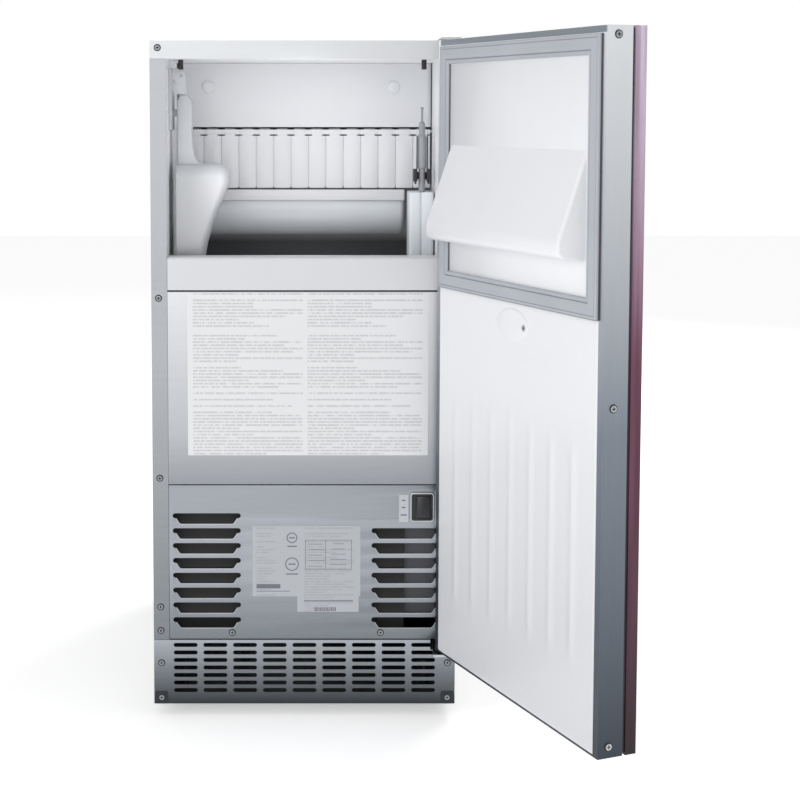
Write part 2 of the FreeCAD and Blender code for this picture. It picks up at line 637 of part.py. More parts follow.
def machine():
    """Compressor, condenser, fan, pipes, valve, drain and wiring box."""
    centre = ("compressor_x", "compressor_y")
    can = rod("compressor_can", "compressor_radius", 120, *centre, "60")
    dome = doc.addObject("Part::Cone", "compressor_dome")
    bind(dome, Radius1="compressor_radius", Radius2="compressor_radius - 26", Height="24")
    place(dome, *centre, "180")
    foot = block("compressor_foot", ("compressor_x - 80", "compressor_x + 80"),
                 ("compressor_y - 60", "compressor_y + 60"), ("54", "60"))
    box = block("compressor_terminals", ("compressor_x - 20", "compressor_x + 20"),
                ("compressor_y - compressor_radius - 18", "compressor_y - compressor_radius + 8"), ("110",
                                                                                                    "160"))
    node(fuse("compressor", can, dome, foot, box))
    mounts = []
    for number, (side_x, side_y) in enumerate(((-1, -1), (1, -1), (-1, 1), (1, 1))):
        mounts.append(rod("mount_%d" % number, 10, 37, "compressor_x + %d" % (68 * side_x),
                          "compressor_y + %d" % (48 * side_y), "17"))
    node(group("compressor_mounts", *mounts))

    core = block("condenser_core", ("-165", "5"), ("30", "66"), ("90", "250"))
    plates = []
    for number in range(16):
        x = -160 + number * 10.4
        plates.append(block("condenser_gap_%d" % number, (x, x + 5.2), ("28", "36"), ("94", "246")))
    bends = []
    for number in range(5):
        level = 106 + number * 32
        for side, x in (("left", -165), ("right", 5)):
            ring = Part.makeTorus(8, 3.5, VECTOR(x, 48, level), VECTOR(0, 1, 0))
            half = Part.makeBox(20, 20, 40, VECTOR(x - (20 if side == "left" else 0), 38, level - 20))
            bends.append(shaped("condenser_bend_%s_%d" % (side, number), ring.common(half)))
    node(fuse("condenser", cut("condenser_fins", core, *plates), *bends))

    hood = block("shroud_hood", ("-165", "5"), ("66.3", "110"), ("90", "250"))
    room = block("shroud_room", ("-163", "3"), ("60", "108"), ("92", "248"))
    ring = rod("shroud_ring", "fan_radius + 3", 20, "fan_x", "100", "fan_z", "y")
    node(cut("fan_shroud", hood, room, ring))

    can = rod("fan_motor_can", 28, 46, "fan_x", "118", "fan_z", "y")
    shaft = rod("fan_shaft", 3, 30, "fan_x", "90", "fan_z", "y")
    bar = block("fan_bracket_bar", ("fan_x - 6", "fan_x + 6"), ("140", "146"), ("17", "fan_z"))
    node(fuse("fan_motor", can, shaft, bar))
    hub = rod("fan_hub", 15, 16, "fan_x", "92", "fan_z", "y")
    blades = []
    for turn in range(5):
        vane = Part.makeBox(58, 2, 34, VECTOR(12, -1, -17))
        vane.rotate(VECTOR(), VECTOR(1, 0, 0), 62)
        vane = vane.common(Part.makeCylinder(70, 15, VECTOR(0, -7.5, 0), VECTOR(0, 1, 0)))
        vane.rotate(VECTOR(), VECTOR(0, 1, 0), 72 * turn)
        vane.translate(VECTOR(size("fan_x"), 100, size("fan_z")))
        blades.append(shaped("fan_vane_%d" % turn, vane))
    bore = rod("fan_bore", 3.05, 40, "fan_x", "80", "fan_z", "y")
    node(cut("fan_blade", fuse("fan_solid", hub, *blades), bore))

    body = rod("drier_body", 11, 80, "-20", "240", "150")
    low = rod("drier_low", 3.5, 110, "-20", "240", "135")
    node(fuse("filter_drier", body, low))

    hot = tube([(100, 420, 204), (100, 420, 262), (130, 500, 262), (130, 500, 783.2), (130, 344.3, 783.2)],
               4.0, 12.0)
    feed = tube([(-20, 240, 245.5), (-20, 240, 285), (112, 240, 285), (112, 500, 285), (112, 500, 783.2),
                 (112, 474, 783.2)], 3.0, 12.0)
    supply = tube([(16.6, 48, 234), (40, 48, 234), (40, 180, 234), (-20, 240, 100), (-20, 240, 134.5)],
                  3.0, 10.0)
    node(group("refrigerant_lines", shaped("hot_gas_line", hot), shaped("feed_line", feed),
               shaped("liquid_line", supply)))

    body = block("valve_body", ("-138", "-102"), ("470", "505"), ("62", "98"))
    coil = rod("valve_coil", 13, 34, "-120", "488", "98")
    neck = rod("valve_neck", 8, 25, "-120", "505", "80", "y")
    spigot = rod("valve_spigot", 9.5, 20, "-120", "cabinet_depth", "80", "y")
    node(fuse("water_inlet_valve", body, coil, neck, spigot))

    pipe = tube([(-60, 430, 329), (-60, 430, 60), (-60, 545, 60)], 8.0, 30.0)
    cuff = Part.makeCylinder(8.5, 14, VECTOR(-60, 531, 60), VECTOR(0, 1, 0))
    core = tube([(-60, 430, 331), (-60, 430, 60), (-60, 547, 60)], 6.5, 30.0)
    node(shaped("drain_pipe", pipe.fuse(cuff).cut(core)))

    flange = block("inlet_flange", ("96", "152"), ("cabinet_depth", "cabinet_depth + 2"), ("52", "88"))
    body = block("inlet_body", ("101", "147"), ("cabinet_depth - 28", "cabinet_depth"), ("57", "83"))
    well = block("inlet_well", ("108", "140"), ("cabinet_depth - 20", "cabinet_depth + 4"), ("61", "79"))
    pins = []
    for number, x in enumerate((115, 124, 133)):
        pins.append(block("inlet_pin_%d" % number, (x - 1, x + 1),
                          ("cabinet_depth - 22", "cabinet_depth - 6"),
                          ("67", "73")))
    node(fuse("power_inlet", cut("inlet_socket", fuse("inlet_solid", flange, body), well), *pins))

    node(block("control_box", ("70", "166"), ("40", "150"), ("120", "235")))


# ------------------------------------------------------------ door hinges

def brackets():
    """Hinge plates of the cabinet with the pins that the door turns on."""
    plate = block("top_plate", ("166", "half_width"), ("-30", "60"), ("cabinet_top", "cabinet_top + 2.6"))
    pin = rod("top_pin", "pin_radius", "pin_reach", "pin_x", "pin_y", "cabinet_top - pin_reach")
    node(fuse("top_hinge_bracket", plate, pin))
    plate = block("bottom_plate", ("160", "half_width - sheet_metal - 0.1"), ("-30", "45"), ("85", "88"))
    pin = rod("bottom_pin", "pin_radius", "pin_reach", "pin_x", "pin_y", "88")
    node(fuse("bottom_hinge_bracket", plate, pin))


def door():
    """Metal pan, foam, inner mouldings, gasket and the wooden front."""
    outer = "door_inner - door_thickness"
    width = ("door_free_edge", "door_hinge_edge")
    pan = block("pan_solid", width, (outer, "door_inner"), ("door_low", "door_high"))
    cavity = block("pan_cavity", ("door_free_edge + sheet_metal", "door_hinge_edge - sheet_metal"),
                   (outer + " + sheet_metal", "door_inner - sheet_metal"),
                   ("door_low + sheet_metal", "door_high - sheet_metal"))
    opening = block("pan_opening", ("door_free_edge + door_flange", "door_hinge_edge - door_flange"),
                    ("door_inner - 3", "door_inner + 3"), ("door_low + door_flange",
                                                           "door_high - door_flange"))
    holes = [rod("pan_pin_high", 6.1, 20, "pin_x", "pin_y", "door_high - 10"),
             rod("pan_pin_low", 6.1, 20, "pin_x", "pin_y", "door_low - 10")]
    door_node(cut("door_frame", pan, cavity, opening, *holes))

    foam = block("door_foam_block", ("door_free_edge + 1.5", "door_hinge_edge - 1.5"),
                 (outer + " + 1.5", "-13"),
                 ("door_low + 1.5", "door_high - 1.5"))
    ways = [rod("foam_pin_high", 7, 40, "pin_x", "pin_y", "door_high - 20"),
            rod("foam_pin_low", 7, 40, "pin_x", "pin_y", "door_low - 20")]
    door_node(cut("door_foam", foam, *ways))

    bushes = []
    for name, low in (("high", "door_high - 13"), ("low", "door_low - 1.7")):
        sleeve = rod("bush_sleeve_" + name, 6.0, "13", "pin_x", "pin_y", low)
        bore = rod("bush_bore_" + name, "pin_radius + 0.05", 30, "pin_x", "pin_y", low + " - 5")
        bushes.append(cut("bush_" + name, sleeve, bore))
    door_node(group("hinge_bushes", *bushes))

    left = "door_free_edge + door_flange + 0.2"
    right = "door_hinge_edge - door_flange - 0.2"
    base = block("liner_plate", (left, right), ("door_inner - plastic", "door_inner"),
                 ("gasket_low", "door_high - door_flange - 0.2"))
    hood = [(-5.0, 716.0), (28.5, 622.0), (28.5, 613.0), (24.0, 607.0), (-5.0, 604.0)]
    bulge = shaped("deflector_solid", prism(hood, "x", -146.0, 154.0))
    inside = [(-9.0, 716.0), (-5.0, 708.0), (25.5, 621.6), (25.5, 613.6), (23.0, 610.0), (-9.0, 607.0)]
    hollow = shaped("deflector_hollow", prism(inside, "x", -143.0, 151.0))
    door_node(cut("door_liner", fuse("liner_moulding", base, bulge), hollow))

    trim_left = "door_free_edge + trim_margin"
    trim_right = "door_hinge_edge - trim_margin"
    plate = block("lower_plate", (trim_left, trim_right), ("door_inner", "door_inner + 1.5"),
                  ("door_low + 3", "gasket_low - 1"))
    ribs = []
    for number in range(7):
        x = 186 - 54 - 44 * number
        ribs.append(block("lower_rib_%d" % number, (x - 7, x + 7), ("door_inner + 1.5", "door_inner + 2.2"),
                          ("172", "420")))
    door_node(fuse("door_lower_panel", plate, *ribs))

    cap = block("cap_middle", ("1 - 19", "1 + 19"), ("door_inner + 1.5", "door_inner + 3"), ("502", "540"))
    ends = [rod("cap_end_%d" % n, 19, 1.5, x, "door_inner + 1.5", "521", "y") for n,
            x in enumerate((-18, 20))]
    screw = rod("cap_screw", 4, 1.0, "-23", "door_inner + 3", "521", "y")
    door_node(fuse("door_cap", cap, screw, *ends))

    ring = block("gasket_block", (trim_left, trim_right), ("door_inner", "door_inner + gasket_height"),
                 ("gasket_low", "gasket_high"))
    ring_hole = block("gasket_hole", (trim_left + " + gasket_band", trim_right + " - gasket_band"),
                      ("door_inner - 2", "door_inner + 10"), ("gasket_low + gasket_band",
                                                              "gasket_high - gasket_band"))
    door_node(cut("door_gasket", ring, ring_hole))

    strip = block("spacer_sheet", ("door_free_edge + 2.5", "door_hinge_edge - 2.5"),
                  (outer + " - reveal", outer),
                  ("door_low + 2.5", "door_high - 2.5"))
    door_node(group("panel_spacer", strip))
    board = block("wood_board", width, (outer + " - reveal - wood_thickness", outer + " - reveal"),
                  ("door_low", "door_high"))
    door_node(group("wood_panel", board))
    heads = []
    for number, level in enumerate((835.0, 456.0, 102.0)):
        heads.append(rod("door_screw_%d" % number, 4, 1.3, "door_free_edge - 1.3", "pin_y", level, "x"))
    door_node(group("door_screws", *heads))


def rocker():
    """Power rocker in its well, resting on its upper half."""
    outline = [(-2.9, -12.8), (-1.8, 0.0), (0.9, 12.8), (8.0, 5.0), (8.0, -5.0)]
    cap = prism([(y, size("rocker_z") + level) for y, level in outline], "x", 140.7, 157.1)
    pin = rod("rocker_pin", 1.6, 19, "139.4", "rocker_y", "rocker_z", "x")
    node(fuse("power_rocker", shaped("rocker_cap", cap), pin))


cabinet_shell()
feet()
front_panels()
screws()
bin_parts()
evaporator()
curtain()
water_side()
scoop()
machine()
brackets()
door()
rocker()
doc.recompute()

for obj in doc.Objects:
    faults = [word for word in obj.State if word in ("Invalid", "Error")]
    assert not faults, "%s is %s" % (obj.Label, faults)
for obj in nodes:
    shape = obj.Shape
    assert not shape.isNull() and shape.isValid() and shape.Solids, obj.Label + " has no sound solid"
for obj in nodes:
    obj.Shape.exportStep("parts/%s.step" % obj.Label)
print("%d sub-parts written" % len(nodes))
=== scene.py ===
"""The looks of an undercounter clear-ice maker with a wood-faced door.

The cabinet stands where the frame puts it. Pieces of the door are drawn
shut, in millimetres, and then swung open about the hinge pins.
"""

import json
import logging
import math
from dataclasses import dataclass, field
from enum import Enum
from typing import Callable, Iterable, Sequence

import bmesh
import bpy
from mathutils import Matrix, Vector


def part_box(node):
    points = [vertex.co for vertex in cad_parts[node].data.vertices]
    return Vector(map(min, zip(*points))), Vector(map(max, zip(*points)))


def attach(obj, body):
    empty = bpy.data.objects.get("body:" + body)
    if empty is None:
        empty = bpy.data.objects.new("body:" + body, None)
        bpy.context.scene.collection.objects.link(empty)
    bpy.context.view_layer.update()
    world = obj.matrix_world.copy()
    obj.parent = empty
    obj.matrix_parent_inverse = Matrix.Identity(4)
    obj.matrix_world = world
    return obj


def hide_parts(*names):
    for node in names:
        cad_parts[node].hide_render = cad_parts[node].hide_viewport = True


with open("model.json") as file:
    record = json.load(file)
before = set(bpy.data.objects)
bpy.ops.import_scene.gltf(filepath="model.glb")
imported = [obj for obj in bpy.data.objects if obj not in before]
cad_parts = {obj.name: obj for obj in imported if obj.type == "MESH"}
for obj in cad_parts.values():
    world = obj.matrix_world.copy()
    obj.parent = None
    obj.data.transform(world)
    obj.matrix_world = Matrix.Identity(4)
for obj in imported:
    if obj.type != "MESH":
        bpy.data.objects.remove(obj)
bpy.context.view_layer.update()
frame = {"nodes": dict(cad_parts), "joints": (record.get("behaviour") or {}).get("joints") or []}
LOG = logging.getLogger("ice_maker")

MM = 0.001
Point2 = tuple[float, float]
Point3 = tuple[float, float, float]
Colour = tuple[float, float, float, float]


def tint(red: int, green: int, blue: int) -> Colour:
    """Turn a display colour of 0 to 255 into the linear colour a shader takes.

    Args:
        red: Red, 0 to 255.
        green: Green, 0 to 255.
        blue: Blue, 0 to 255.

    Returns:
        Linear red, green, blue and an alpha of 1.
    """
    linear = [((c / 255 + 0.055) / 1.055) ** 2.4 if c > 10 else c / 255 / 12.92 for c in (red, green, blue)]
    return (linear[0], linear[1], linear[2], 1.0)


# ------------------------------------------------------------------ shading

class Recipe:
    """A node tree being put together, with short words for its steps."""

    def __init__(self, tree: bpy.types.NodeTree) -> None:
        """Take over a tree.

        Args:
            tree: The tree of a material, a world or a node group.
        """
        self.tree = tree

    def add(self, kind: str, **settings: object) -> bpy.types.Node:
        """Add a node.

        Args:
            kind: The node's type name.
            settings: Properties to set on it.

        Returns:
            The node.
        """
        node = self.tree.nodes.new(kind)
        for name, value in settings.items():
            setattr(node, name, value)
        return node

    def feed(self, socket: bpy.types.NodeSocket, value: object) -> None:
        """Link a socket to another one, or set its value.

        Args:
            socket: The input socket.
            value: An output socket, or a plain value.
        """
        if isinstance(value, bpy.types.NodeSocket):
            self.tree.links.new(value, socket)
        else:
            socket.default_value = value

    def maths(self, operation: str, *values: object, clamp: bool = False) -> bpy.types.NodeSocket:
        """Work out a number.

        Args:
            operation: The Math node's operation.
            values: Up to three sockets or numbers.
            clamp: Whether to hold the result between 0 and 1.

        Returns:
            The result's socket.
        """
        node = self.add("ShaderNodeMath", operation=operation, use_clamp=clamp)
        for socket, value in zip(node.inputs, values):
            self.feed(socket, value)
        return node.outputs[0]

    def mix(self, factor: object, first: object, second: object, blend: str = "MIX") -> bpy.types.NodeSocket:
        """Blend two colours.

        Args:
            factor: 0 for the first colour, 1 for the second.
            first: A colour or its socket.
            second: A colour or its socket.
            blend: How the second colour lies over the first.

        Returns:
            The blended colour's socket.
        """
        node = self.add("ShaderNodeMix", data_type="RGBA", blend_type=blend)
        for name, value in (("Factor_Float", factor), ("A_Color", first), ("B_Color", second)):
            self.feed(next(s for s in node.inputs if s.identifier == name), value)
        return next(s for s in node.outputs if s.identifier == "Result_Color")

    def place(self) -> bpy.types.NodeSocket:
        """Return the object's own coordinates."""
        return self.add("ShaderNodeTexCoord").outputs["Object"]

    def split(self, vector: bpy.types.NodeSocket) -> bpy.types.NodeOutputs:
        """Split a vector into its X, Y and Z.

        Args:
            vector: The vector's socket.

        Returns:
            The three numbers' sockets.
        """
        node = self.add("ShaderNodeSeparateXYZ")
        self.feed(node.inputs[0], vector)
        return node.outputs

    def total(self, *parts: tuple[object, object]) -> bpy.types.NodeSocket:
        """Add up values, each times its weight.

        Args:
            parts: A value and its weight, each a socket or a number.

        Returns:
            The sum's socket.
        """
        first, *others = (self.maths("MULTIPLY", value, weight) for value, weight in parts)
        for other in others:
            first = self.maths("ADD", first, other)
        return first

    def shift(self, base: object, change: object, share: float) -> bpy.types.NodeSocket:
        """Shift a value by a share of another.

        Args:
            base: The value to start from.
            change: What shifts it.
            share: How much of that to add.

        Returns:
            The sum's socket, held between 0 and 1.
        """
        return self.maths("ADD", base, self.maths("MULTIPLY", change, share), clamp=True)

    def spread(self, value: object, low: float, high: float, to_low: object,
               to_high: object) -> bpy.types.NodeSocket:
        """Map a range of numbers smoothly onto another.

        Args:
            value: The number's socket.
            low: Where the first range starts.
            high: Where it ends.
            to_low: Where the second range starts.
            to_high: Where it ends.

        Returns:
            The mapped number's socket.
        """
        node = self.add("ShaderNodeMapRange", interpolation_type="SMOOTHSTEP")
        for name, item in (("Value", value), ("From Min", low), ("From Max", high),
                           ("To Min", to_low), ("To Max", to_high)):
            self.feed(node.inputs[name], item)
        return node.outputs[0]

    def noise(self, stretch: object, scale: float, detail: float = 3.0) -> bpy.types.NodeSocket:
        """Sample noise at the object's own coordinates, stretched along its axes.

        Args:
            stretch: How finely it varies along X, Y and Z.
            scale: Overall fineness.
            detail: Layers of finer noise.

        Returns:
            The noise value's socket.
        """
        scaled = self.add("ShaderNodeVectorMath", operation="MULTIPLY")
        self.feed(scaled.inputs[0], self.place())
        self.feed(scaled.inputs[1], stretch)
        node = self.add("ShaderNodeTexNoise")
        self.feed(node.inputs["Vector"], scaled.outputs[0])
        node.inputs["Scale"].default_value = scale
        node.inputs["Detail"].default_value = detail
        return node.outputs["Fac"]

    def bump(self, height: bpy.types.NodeSocket, strength: float, distance: float) -> bpy.types.NodeSocket:
        """Turn a height into a bumped normal.

        Args:
            height: The height's socket.
            strength: 0 to 1.
            distance: Depth in metres.

        Returns:
            The normal's socket.
        """
        node = self.add("ShaderNodeBump")
        node.inputs["Strength"].default_value = strength
        node.inputs["Distance"].default_value = distance
        self.feed(node.inputs["Height"], height)
        return node.outputs[0]


def new_group(name: str, inputs: dict[str, object], outputs: dict[str, str]) -> tuple[Recipe, dict, dict]:
    """Start a shader node group with named sockets.

    Args:
        name: The group's name.
        inputs: Each input's name and first value; its type follows the value.
        outputs: Each output's name and socket type.

    Returns:
        The recipe, the inputs by name and the outputs' sockets by name.
    """
    tree = bpy.data.node_groups.new(name, "ShaderNodeTree")
    for label, value in inputs.items():
        if isinstance(value, (int, float)):
            kind = "NodeSocketFloat"
        else:
            kind = "NodeSocketColor" if len(value) == 4 else "NodeSocketVector"
        socket = tree.interface.new_socket(label, in_out="INPUT", socket_type=kind)
        socket.default_value = value
    for label, kind in outputs.items():
        tree.interface.new_socket(label, in_out="OUTPUT", socket_type=kind)
    recipe = Recipe(tree)
    source = recipe.add("NodeGroupInput")
    sink = recipe.add("NodeGroupOutput")
    return recipe, {s.name: s for s in source.outputs}, {s.name: s for s in sink.inputs}


SURFACE = {"Color": "NodeSocketColor", "Roughness": "NodeSocketFloat", "Normal": "NodeSocketVector"}
EVEN: Point3 = (1.0, 1.0, 1.0)
NOISE_MIDDLE = 0.5
SOLID_BLACK: Colour = (0.0, 0.0, 0.0, 1.0)
SOLID_WHITE: Colour = (1.0, 1.0, 1.0, 1.0)


def put_surface(recipe: Recipe, made: dict[str, bpy.types.NodeSocket], *values: bpy.types.NodeSocket) -> None:
    """Put out a surface effect's colour, roughness and normal.

    Args:
        recipe: The group's recipe.
        made: The group's outputs by name.
        values: The colour's, the roughness's and the normal's sockets.
    """
    for name, value in zip(SURFACE, values):
        recipe.feed(made[name], value)


def painted_height_shade_group() -> bpy.types.NodeTree:
    """Build the painted light and shade that darkens a surface from its head to its foot.

    Returns:
        The node group.
    """
    recipe, given, made = new_group(
        "PaintedHeightShade",
        {"High Color": tint(200, 202, 205), "Middle Color": tint(170, 173, 177),
         "Low Color": tint(90, 95, 100),
         "Top": 0.84, "Middle": 0.5, "Foot": 0.02},
        {"Color": "NodeSocketColor"},
    )
    # Painted light and shade: the colour runs by height alone, from the lit High Color at the head to the
    # shaded Low Color at the foot.
    level = recipe.split(recipe.place())["Z"]
    lower = recipe.add("ShaderNodeMapRange")
    upper = recipe.add("ShaderNodeMapRange")
    for node, start, end in ((lower, "Foot", "Middle"), (upper, "Middle", "Top")):
        recipe.feed(node.inputs["Value"], level)
        recipe.feed(node.inputs["From Min"], given[start])
        recipe.feed(node.inputs["From Max"], given[end])
    low = recipe.mix(lower.outputs[0], given["Low Color"], given["Middle Color"])
    recipe.feed(made["Color"], recipe.mix(upper.outputs[0], low, given["High Color"]))
    return recipe.tree


def brush_group() -> bpy.types.NodeTree:
    """Build the fine scratches of brushed sheet.

    Returns:
        The node group.
    """
    recipe, given, made = new_group(
        "BrushGrain",
        {"Color": tint(180, 182, 184), "Stretch": (1.0, 1.0, 0.02), "Contrast": 0.08, "Base Roughness": 0.35},
        SURFACE,
    )
    fine = recipe.noise(given["Stretch"], scale=2600.0, detail=2.0)
    broad = recipe.noise(given["Stretch"], scale=420.0, detail=2.0)
    both = recipe.total((fine, 0.6), (broad, 0.4))
    lean = recipe.maths("SUBTRACT", both, NOISE_MIDDLE)
    amount = recipe.maths("MULTIPLY", lean, given["Contrast"])
    darker = recipe.mix(recipe.shift(NOISE_MIDDLE, amount, 4.0), SOLID_BLACK, SOLID_WHITE)
    put_surface(recipe, made, recipe.mix(1.0, given["Color"], darker, "SOFT_LIGHT"),
                recipe.shift(given["Base Roughness"], lean, 0.25),
                recipe.bump(both, strength=0.25, distance=0.00004))
    return recipe.tree


def mould_group() -> bpy.types.NodeTree:
    """Build the faint mottle and ripple of moulded plastic.

    Returns:
        The node group.
    """
    recipe, given, made = new_group(
        "MouldedSkin",
        {"Color": tint(236, 237, 239), "Shade Color": tint(214, 217, 221), "Base Roughness": 0.35,
         "Texture": 0.3},
        SURFACE,
    )
    cloud = recipe.noise(EVEN, scale=9.0, detail=2.0)
    fine = recipe.noise(EVEN, scale=1500.0, detail=2.0)
    ripple = recipe.noise(EVEN, scale=55.0, detail=1.0)
    mottle = recipe.spread(cloud, 0.35, 0.75, 0.0, 0.55)
    height = recipe.total((fine, given["Texture"]), (ripple, 0.6))
    put_surface(recipe, made, recipe.mix(mottle, given["Color"], given["Shade Color"]),
                recipe.shift(given["Base Roughness"], fine, 0.12),
                recipe.bump(height, strength=0.3, distance=0.0002))
    return recipe.tree


def wood_group() -> bpy.types.NodeTree:
    """Build mahogany: upright streaks, ribbon figure and short open pores.

    Returns:
        The node group.
    """
    recipe, given, made = new_group(
        "MahoganyFigure",
        {"Color": tint(150, 110, 130), "Dark Color": tint(90, 50, 65), "Base Roughness": 0.35},
        SURFACE,
    )
    streak = recipe.noise((1.0, 1.0, 0.035), scale=130.0, detail=4.0)
    ribbon = recipe.noise((1.0, 1.0, 0.12), scale=18.0, detail=3.0)
    pores = recipe.noise((1.0, 1.0, 0.05), scale=1400.0, detail=2.0)
    figure = recipe.total((streak, 0.65), (ribbon, 0.35))
    body = recipe.mix(recipe.spread(figure, 0.36, 0.66, 0.0, 0.75), given["Color"], given["Dark Color"])
    open_pore = recipe.spread(pores, 0.62, 0.78, 0.0, 0.5)
    depth = recipe.maths("SUBTRACT", recipe.maths("MULTIPLY", figure, 0.5), open_pore)
    put_surface(recipe, made, recipe.mix(open_pore, body, given["Dark Color"]),
                recipe.shift(given["Base Roughness"], figure, 0.18),
                recipe.bump(depth, strength=0.35, distance=0.0002))
    return recipe.tree


def dust_group() -> bpy.types.NodeTree:
    """Build the film of dust that settles on faces that look up.

    Returns:
        The node group.
    """
    recipe, given, made = new_group(
        "SettledDust", {"Color": tint(40, 40, 42), "Dust Color": tint(150, 146, 140), "Amount": 0.25},
        {"Color": "NodeSocketColor"},
    )
    facing = recipe.split(recipe.add("ShaderNodeNewGeometry").outputs["Normal"])
    patch = recipe.spread(recipe.noise(EVEN, scale=60.0), 0.3, 0.7, 0.3, 1.0)
    upward = recipe.maths("MAXIMUM", facing["Z"], 0.0)
    mask = recipe.maths("MULTIPLY", recipe.maths("MULTIPLY", upward, patch), given["Amount"], clamp=True)
    recipe.feed(made["Color"], recipe.mix(mask, given["Color"], given["Dust Color"]))
    return recipe.tree


def print_group() -> bpy.types.NodeTree:
    """Build rows of grey ruled dashes that stand in for small print.

    Returns:
        The node group.
    """
    recipe, given, made = new_group(
        "RuledPrint",
        {"Paper Color": tint(234, 235, 236), "Ink Color": tint(150, 152, 156), "Row Pitch": 0.0042,
         "Left": -0.14, "Right": 0.0, "Strength": 0.6},
        {"Color": "NodeSocketColor"},
    )
    place = recipe.split(recipe.place())
    across = place["X"]
    row = recipe.maths("DIVIDE", place["Z"], given["Row Pitch"])
    line = recipe.maths("PINGPONG", row, 0.5)
    ruled = recipe.spread(line, 0.18, 0.30, 0.0, 1.0)
    step = recipe.maths("FLOOR", row)
    seat = recipe.add("ShaderNodeCombineXYZ")
    recipe.feed(seat.inputs["X"], recipe.maths("MULTIPLY", across, 330.0))
    recipe.feed(seat.inputs["Y"], recipe.maths("MULTIPLY", step, 7.31))
    words = recipe.add("ShaderNodeTexNoise")
    words.inputs["Scale"].default_value = 1.0
    recipe.feed(words.inputs["Vector"], seat.outputs[0])
    word = recipe.spread(words.outputs["Fac"], 0.40, 0.50, 0.25, 1.0)
    ends = recipe.add("ShaderNodeTexWhiteNoise", noise_dimensions="1D")
    recipe.feed(ends.inputs["W"], step)
    width = recipe.maths("SUBTRACT", given["Right"], given["Left"])
    written = recipe.maths("GREATER_THAN", ends.outputs["Value"], 0.1)
    share = recipe.maths("MULTIPLY", written, recipe.spread(ends.outputs["Value"], 0.1, 0.55, 0.4, 1.0))
    reach = recipe.maths("MULTIPLY", width, share)
    before_end = recipe.maths("LESS_THAN", across, recipe.maths("ADD", given["Left"], reach))
    after_start = recipe.maths("GREATER_THAN", across, given["Left"])
    inside = recipe.maths("MULTIPLY", before_end, after_start)
    mask = recipe.maths("MULTIPLY", recipe.maths("MULTIPLY", ruled, word), inside)
    mask = recipe.maths("MULTIPLY", mask, given["Strength"], clamp=True)
    recipe.feed(made["Color"], recipe.mix(mask, given["Paper Color"], given["Ink Color"]))
    return recipe.tree


class Effect(Enum):
    """The shared effects, each a node group built once."""

    # The first effect is painted light and shade by height.
    PAINTED_SHADE = "PaintedHeightShade"
    BRUSH = "BrushGrain"
    MOULD = "MouldedSkin"
    WOOD = "MahoganyFigure"
    DUST = "SettledDust"
    PRINT = "RuledPrint"


EFFECT_BUILDERS: dict[Effect, Callable[[], bpy.types.NodeTree]] = {
    Effect.PAINTED_SHADE: painted_height_shade_group, Effect.BRUSH: brush_group, Effect.MOULD: mould_group,
    Effect.WOOD: wood_group, Effect.DUST: dust_group, Effect.PRINT: print_group,
}


def effect_tree(effect: Effect) -> bpy.types.NodeTree:
    """Return an effect's node group, built the first time."""
    return bpy.data.node_groups.get(effect.value) or EFFECT_BUILDERS[effect]()


@dataclass(frozen=True)
class Finish:
    """A finish of the ice maker; each kind says how its material is laid."""

    name: str

    def lay(self, recipe: Recipe, shader: bpy.types.Node) -> None:
        """Lay the finish on a material's shader.

        Args:
            recipe: The material's recipe.
            shader: Its Principled BSDF.
        """
        raise NotImplementedError

    def group(self, recipe: Recipe, effect: Effect, **values: object) -> bpy.types.Node:
        """Place one of the shared effects.

        Args:
            recipe: The material's recipe.
            effect: The effect.
            values: Its inputs, with underscores for spaces.

        Returns:
            The group's node.
        """
        node = recipe.add("ShaderNodeGroup", node_tree=effect_tree(effect))
        for label, value in values.items():
            recipe.feed(node.inputs[label.replace("_", " ")], value)
        return node

    def cover(self, recipe: Recipe, shader: bpy.types.Node, skin: bpy.types.Node,
              colour: bpy.types.NodeSocket | None = None) -> None:
        """Feed a shader from a surface effect.

        Args:
            recipe: The material's recipe.
            shader: Its Principled BSDF.
            skin: The surface effect's node.
            colour: The colour's socket, where it isn't the effect's own.
        """
        recipe.feed(shader.inputs["Base Color"], skin.outputs["Color"] if colour is None else colour)
        for name in ("Roughness", "Normal"):
            recipe.feed(shader.inputs[name], skin.outputs[name])

    def material(self) -> bpy.types.Material:
        """Return the finish's material, built the first time."""
        known = bpy.data.materials.get(self.name)
        if known:
            return known
        made = bpy.data.materials.new(self.name)
        made.use_nodes = True
        recipe = Recipe(made.node_tree)
        shader = next(n for n in made.node_tree.nodes if n.type == "BSDF_PRINCIPLED")
        self.lay(recipe, shader)
        made.diffuse_color = (0.7, 0.7, 0.7, 1.0)
        return made


@dataclass(frozen=True)
class SheetSteel(Finish):
    """Brushed sheet with painted light and shade that falls from head to foot."""

    # The three colours below are painted light and shade, lit at the head and shaded at the foot, not the
    # steel's own colour.
    high: Colour
    middle: Colour
    low: Colour
    stretch: Point3 = (0.02, 1.0, 1.0)
    roughness: float = 0.38
    contrast: float = 0.06
    metallic: float = 0.75
    top: float = 0.84
    waist: float = 0.5
    foot: float = 0.02

    def lay(self, recipe: Recipe, shader: bpy.types.Node) -> None:
        """Lay the painted light-to-shade gradient, then brush marks."""
        painted_gradient = self.group(recipe, Effect.PAINTED_SHADE, High_Color=self.high, Middle_Color=self.middle,
                          Low_Color=self.low,
                          Top=self.top, Middle=self.waist, Foot=self.foot)
        brush = self.group(recipe, Effect.BRUSH, Color=painted_gradient.outputs["Color"], Stretch=self.stretch,
                           Contrast=self.contrast, Base_Roughness=self.roughness)
        shader.inputs["Metallic"].default_value = self.metallic
        self.cover(recipe, shader, brush)


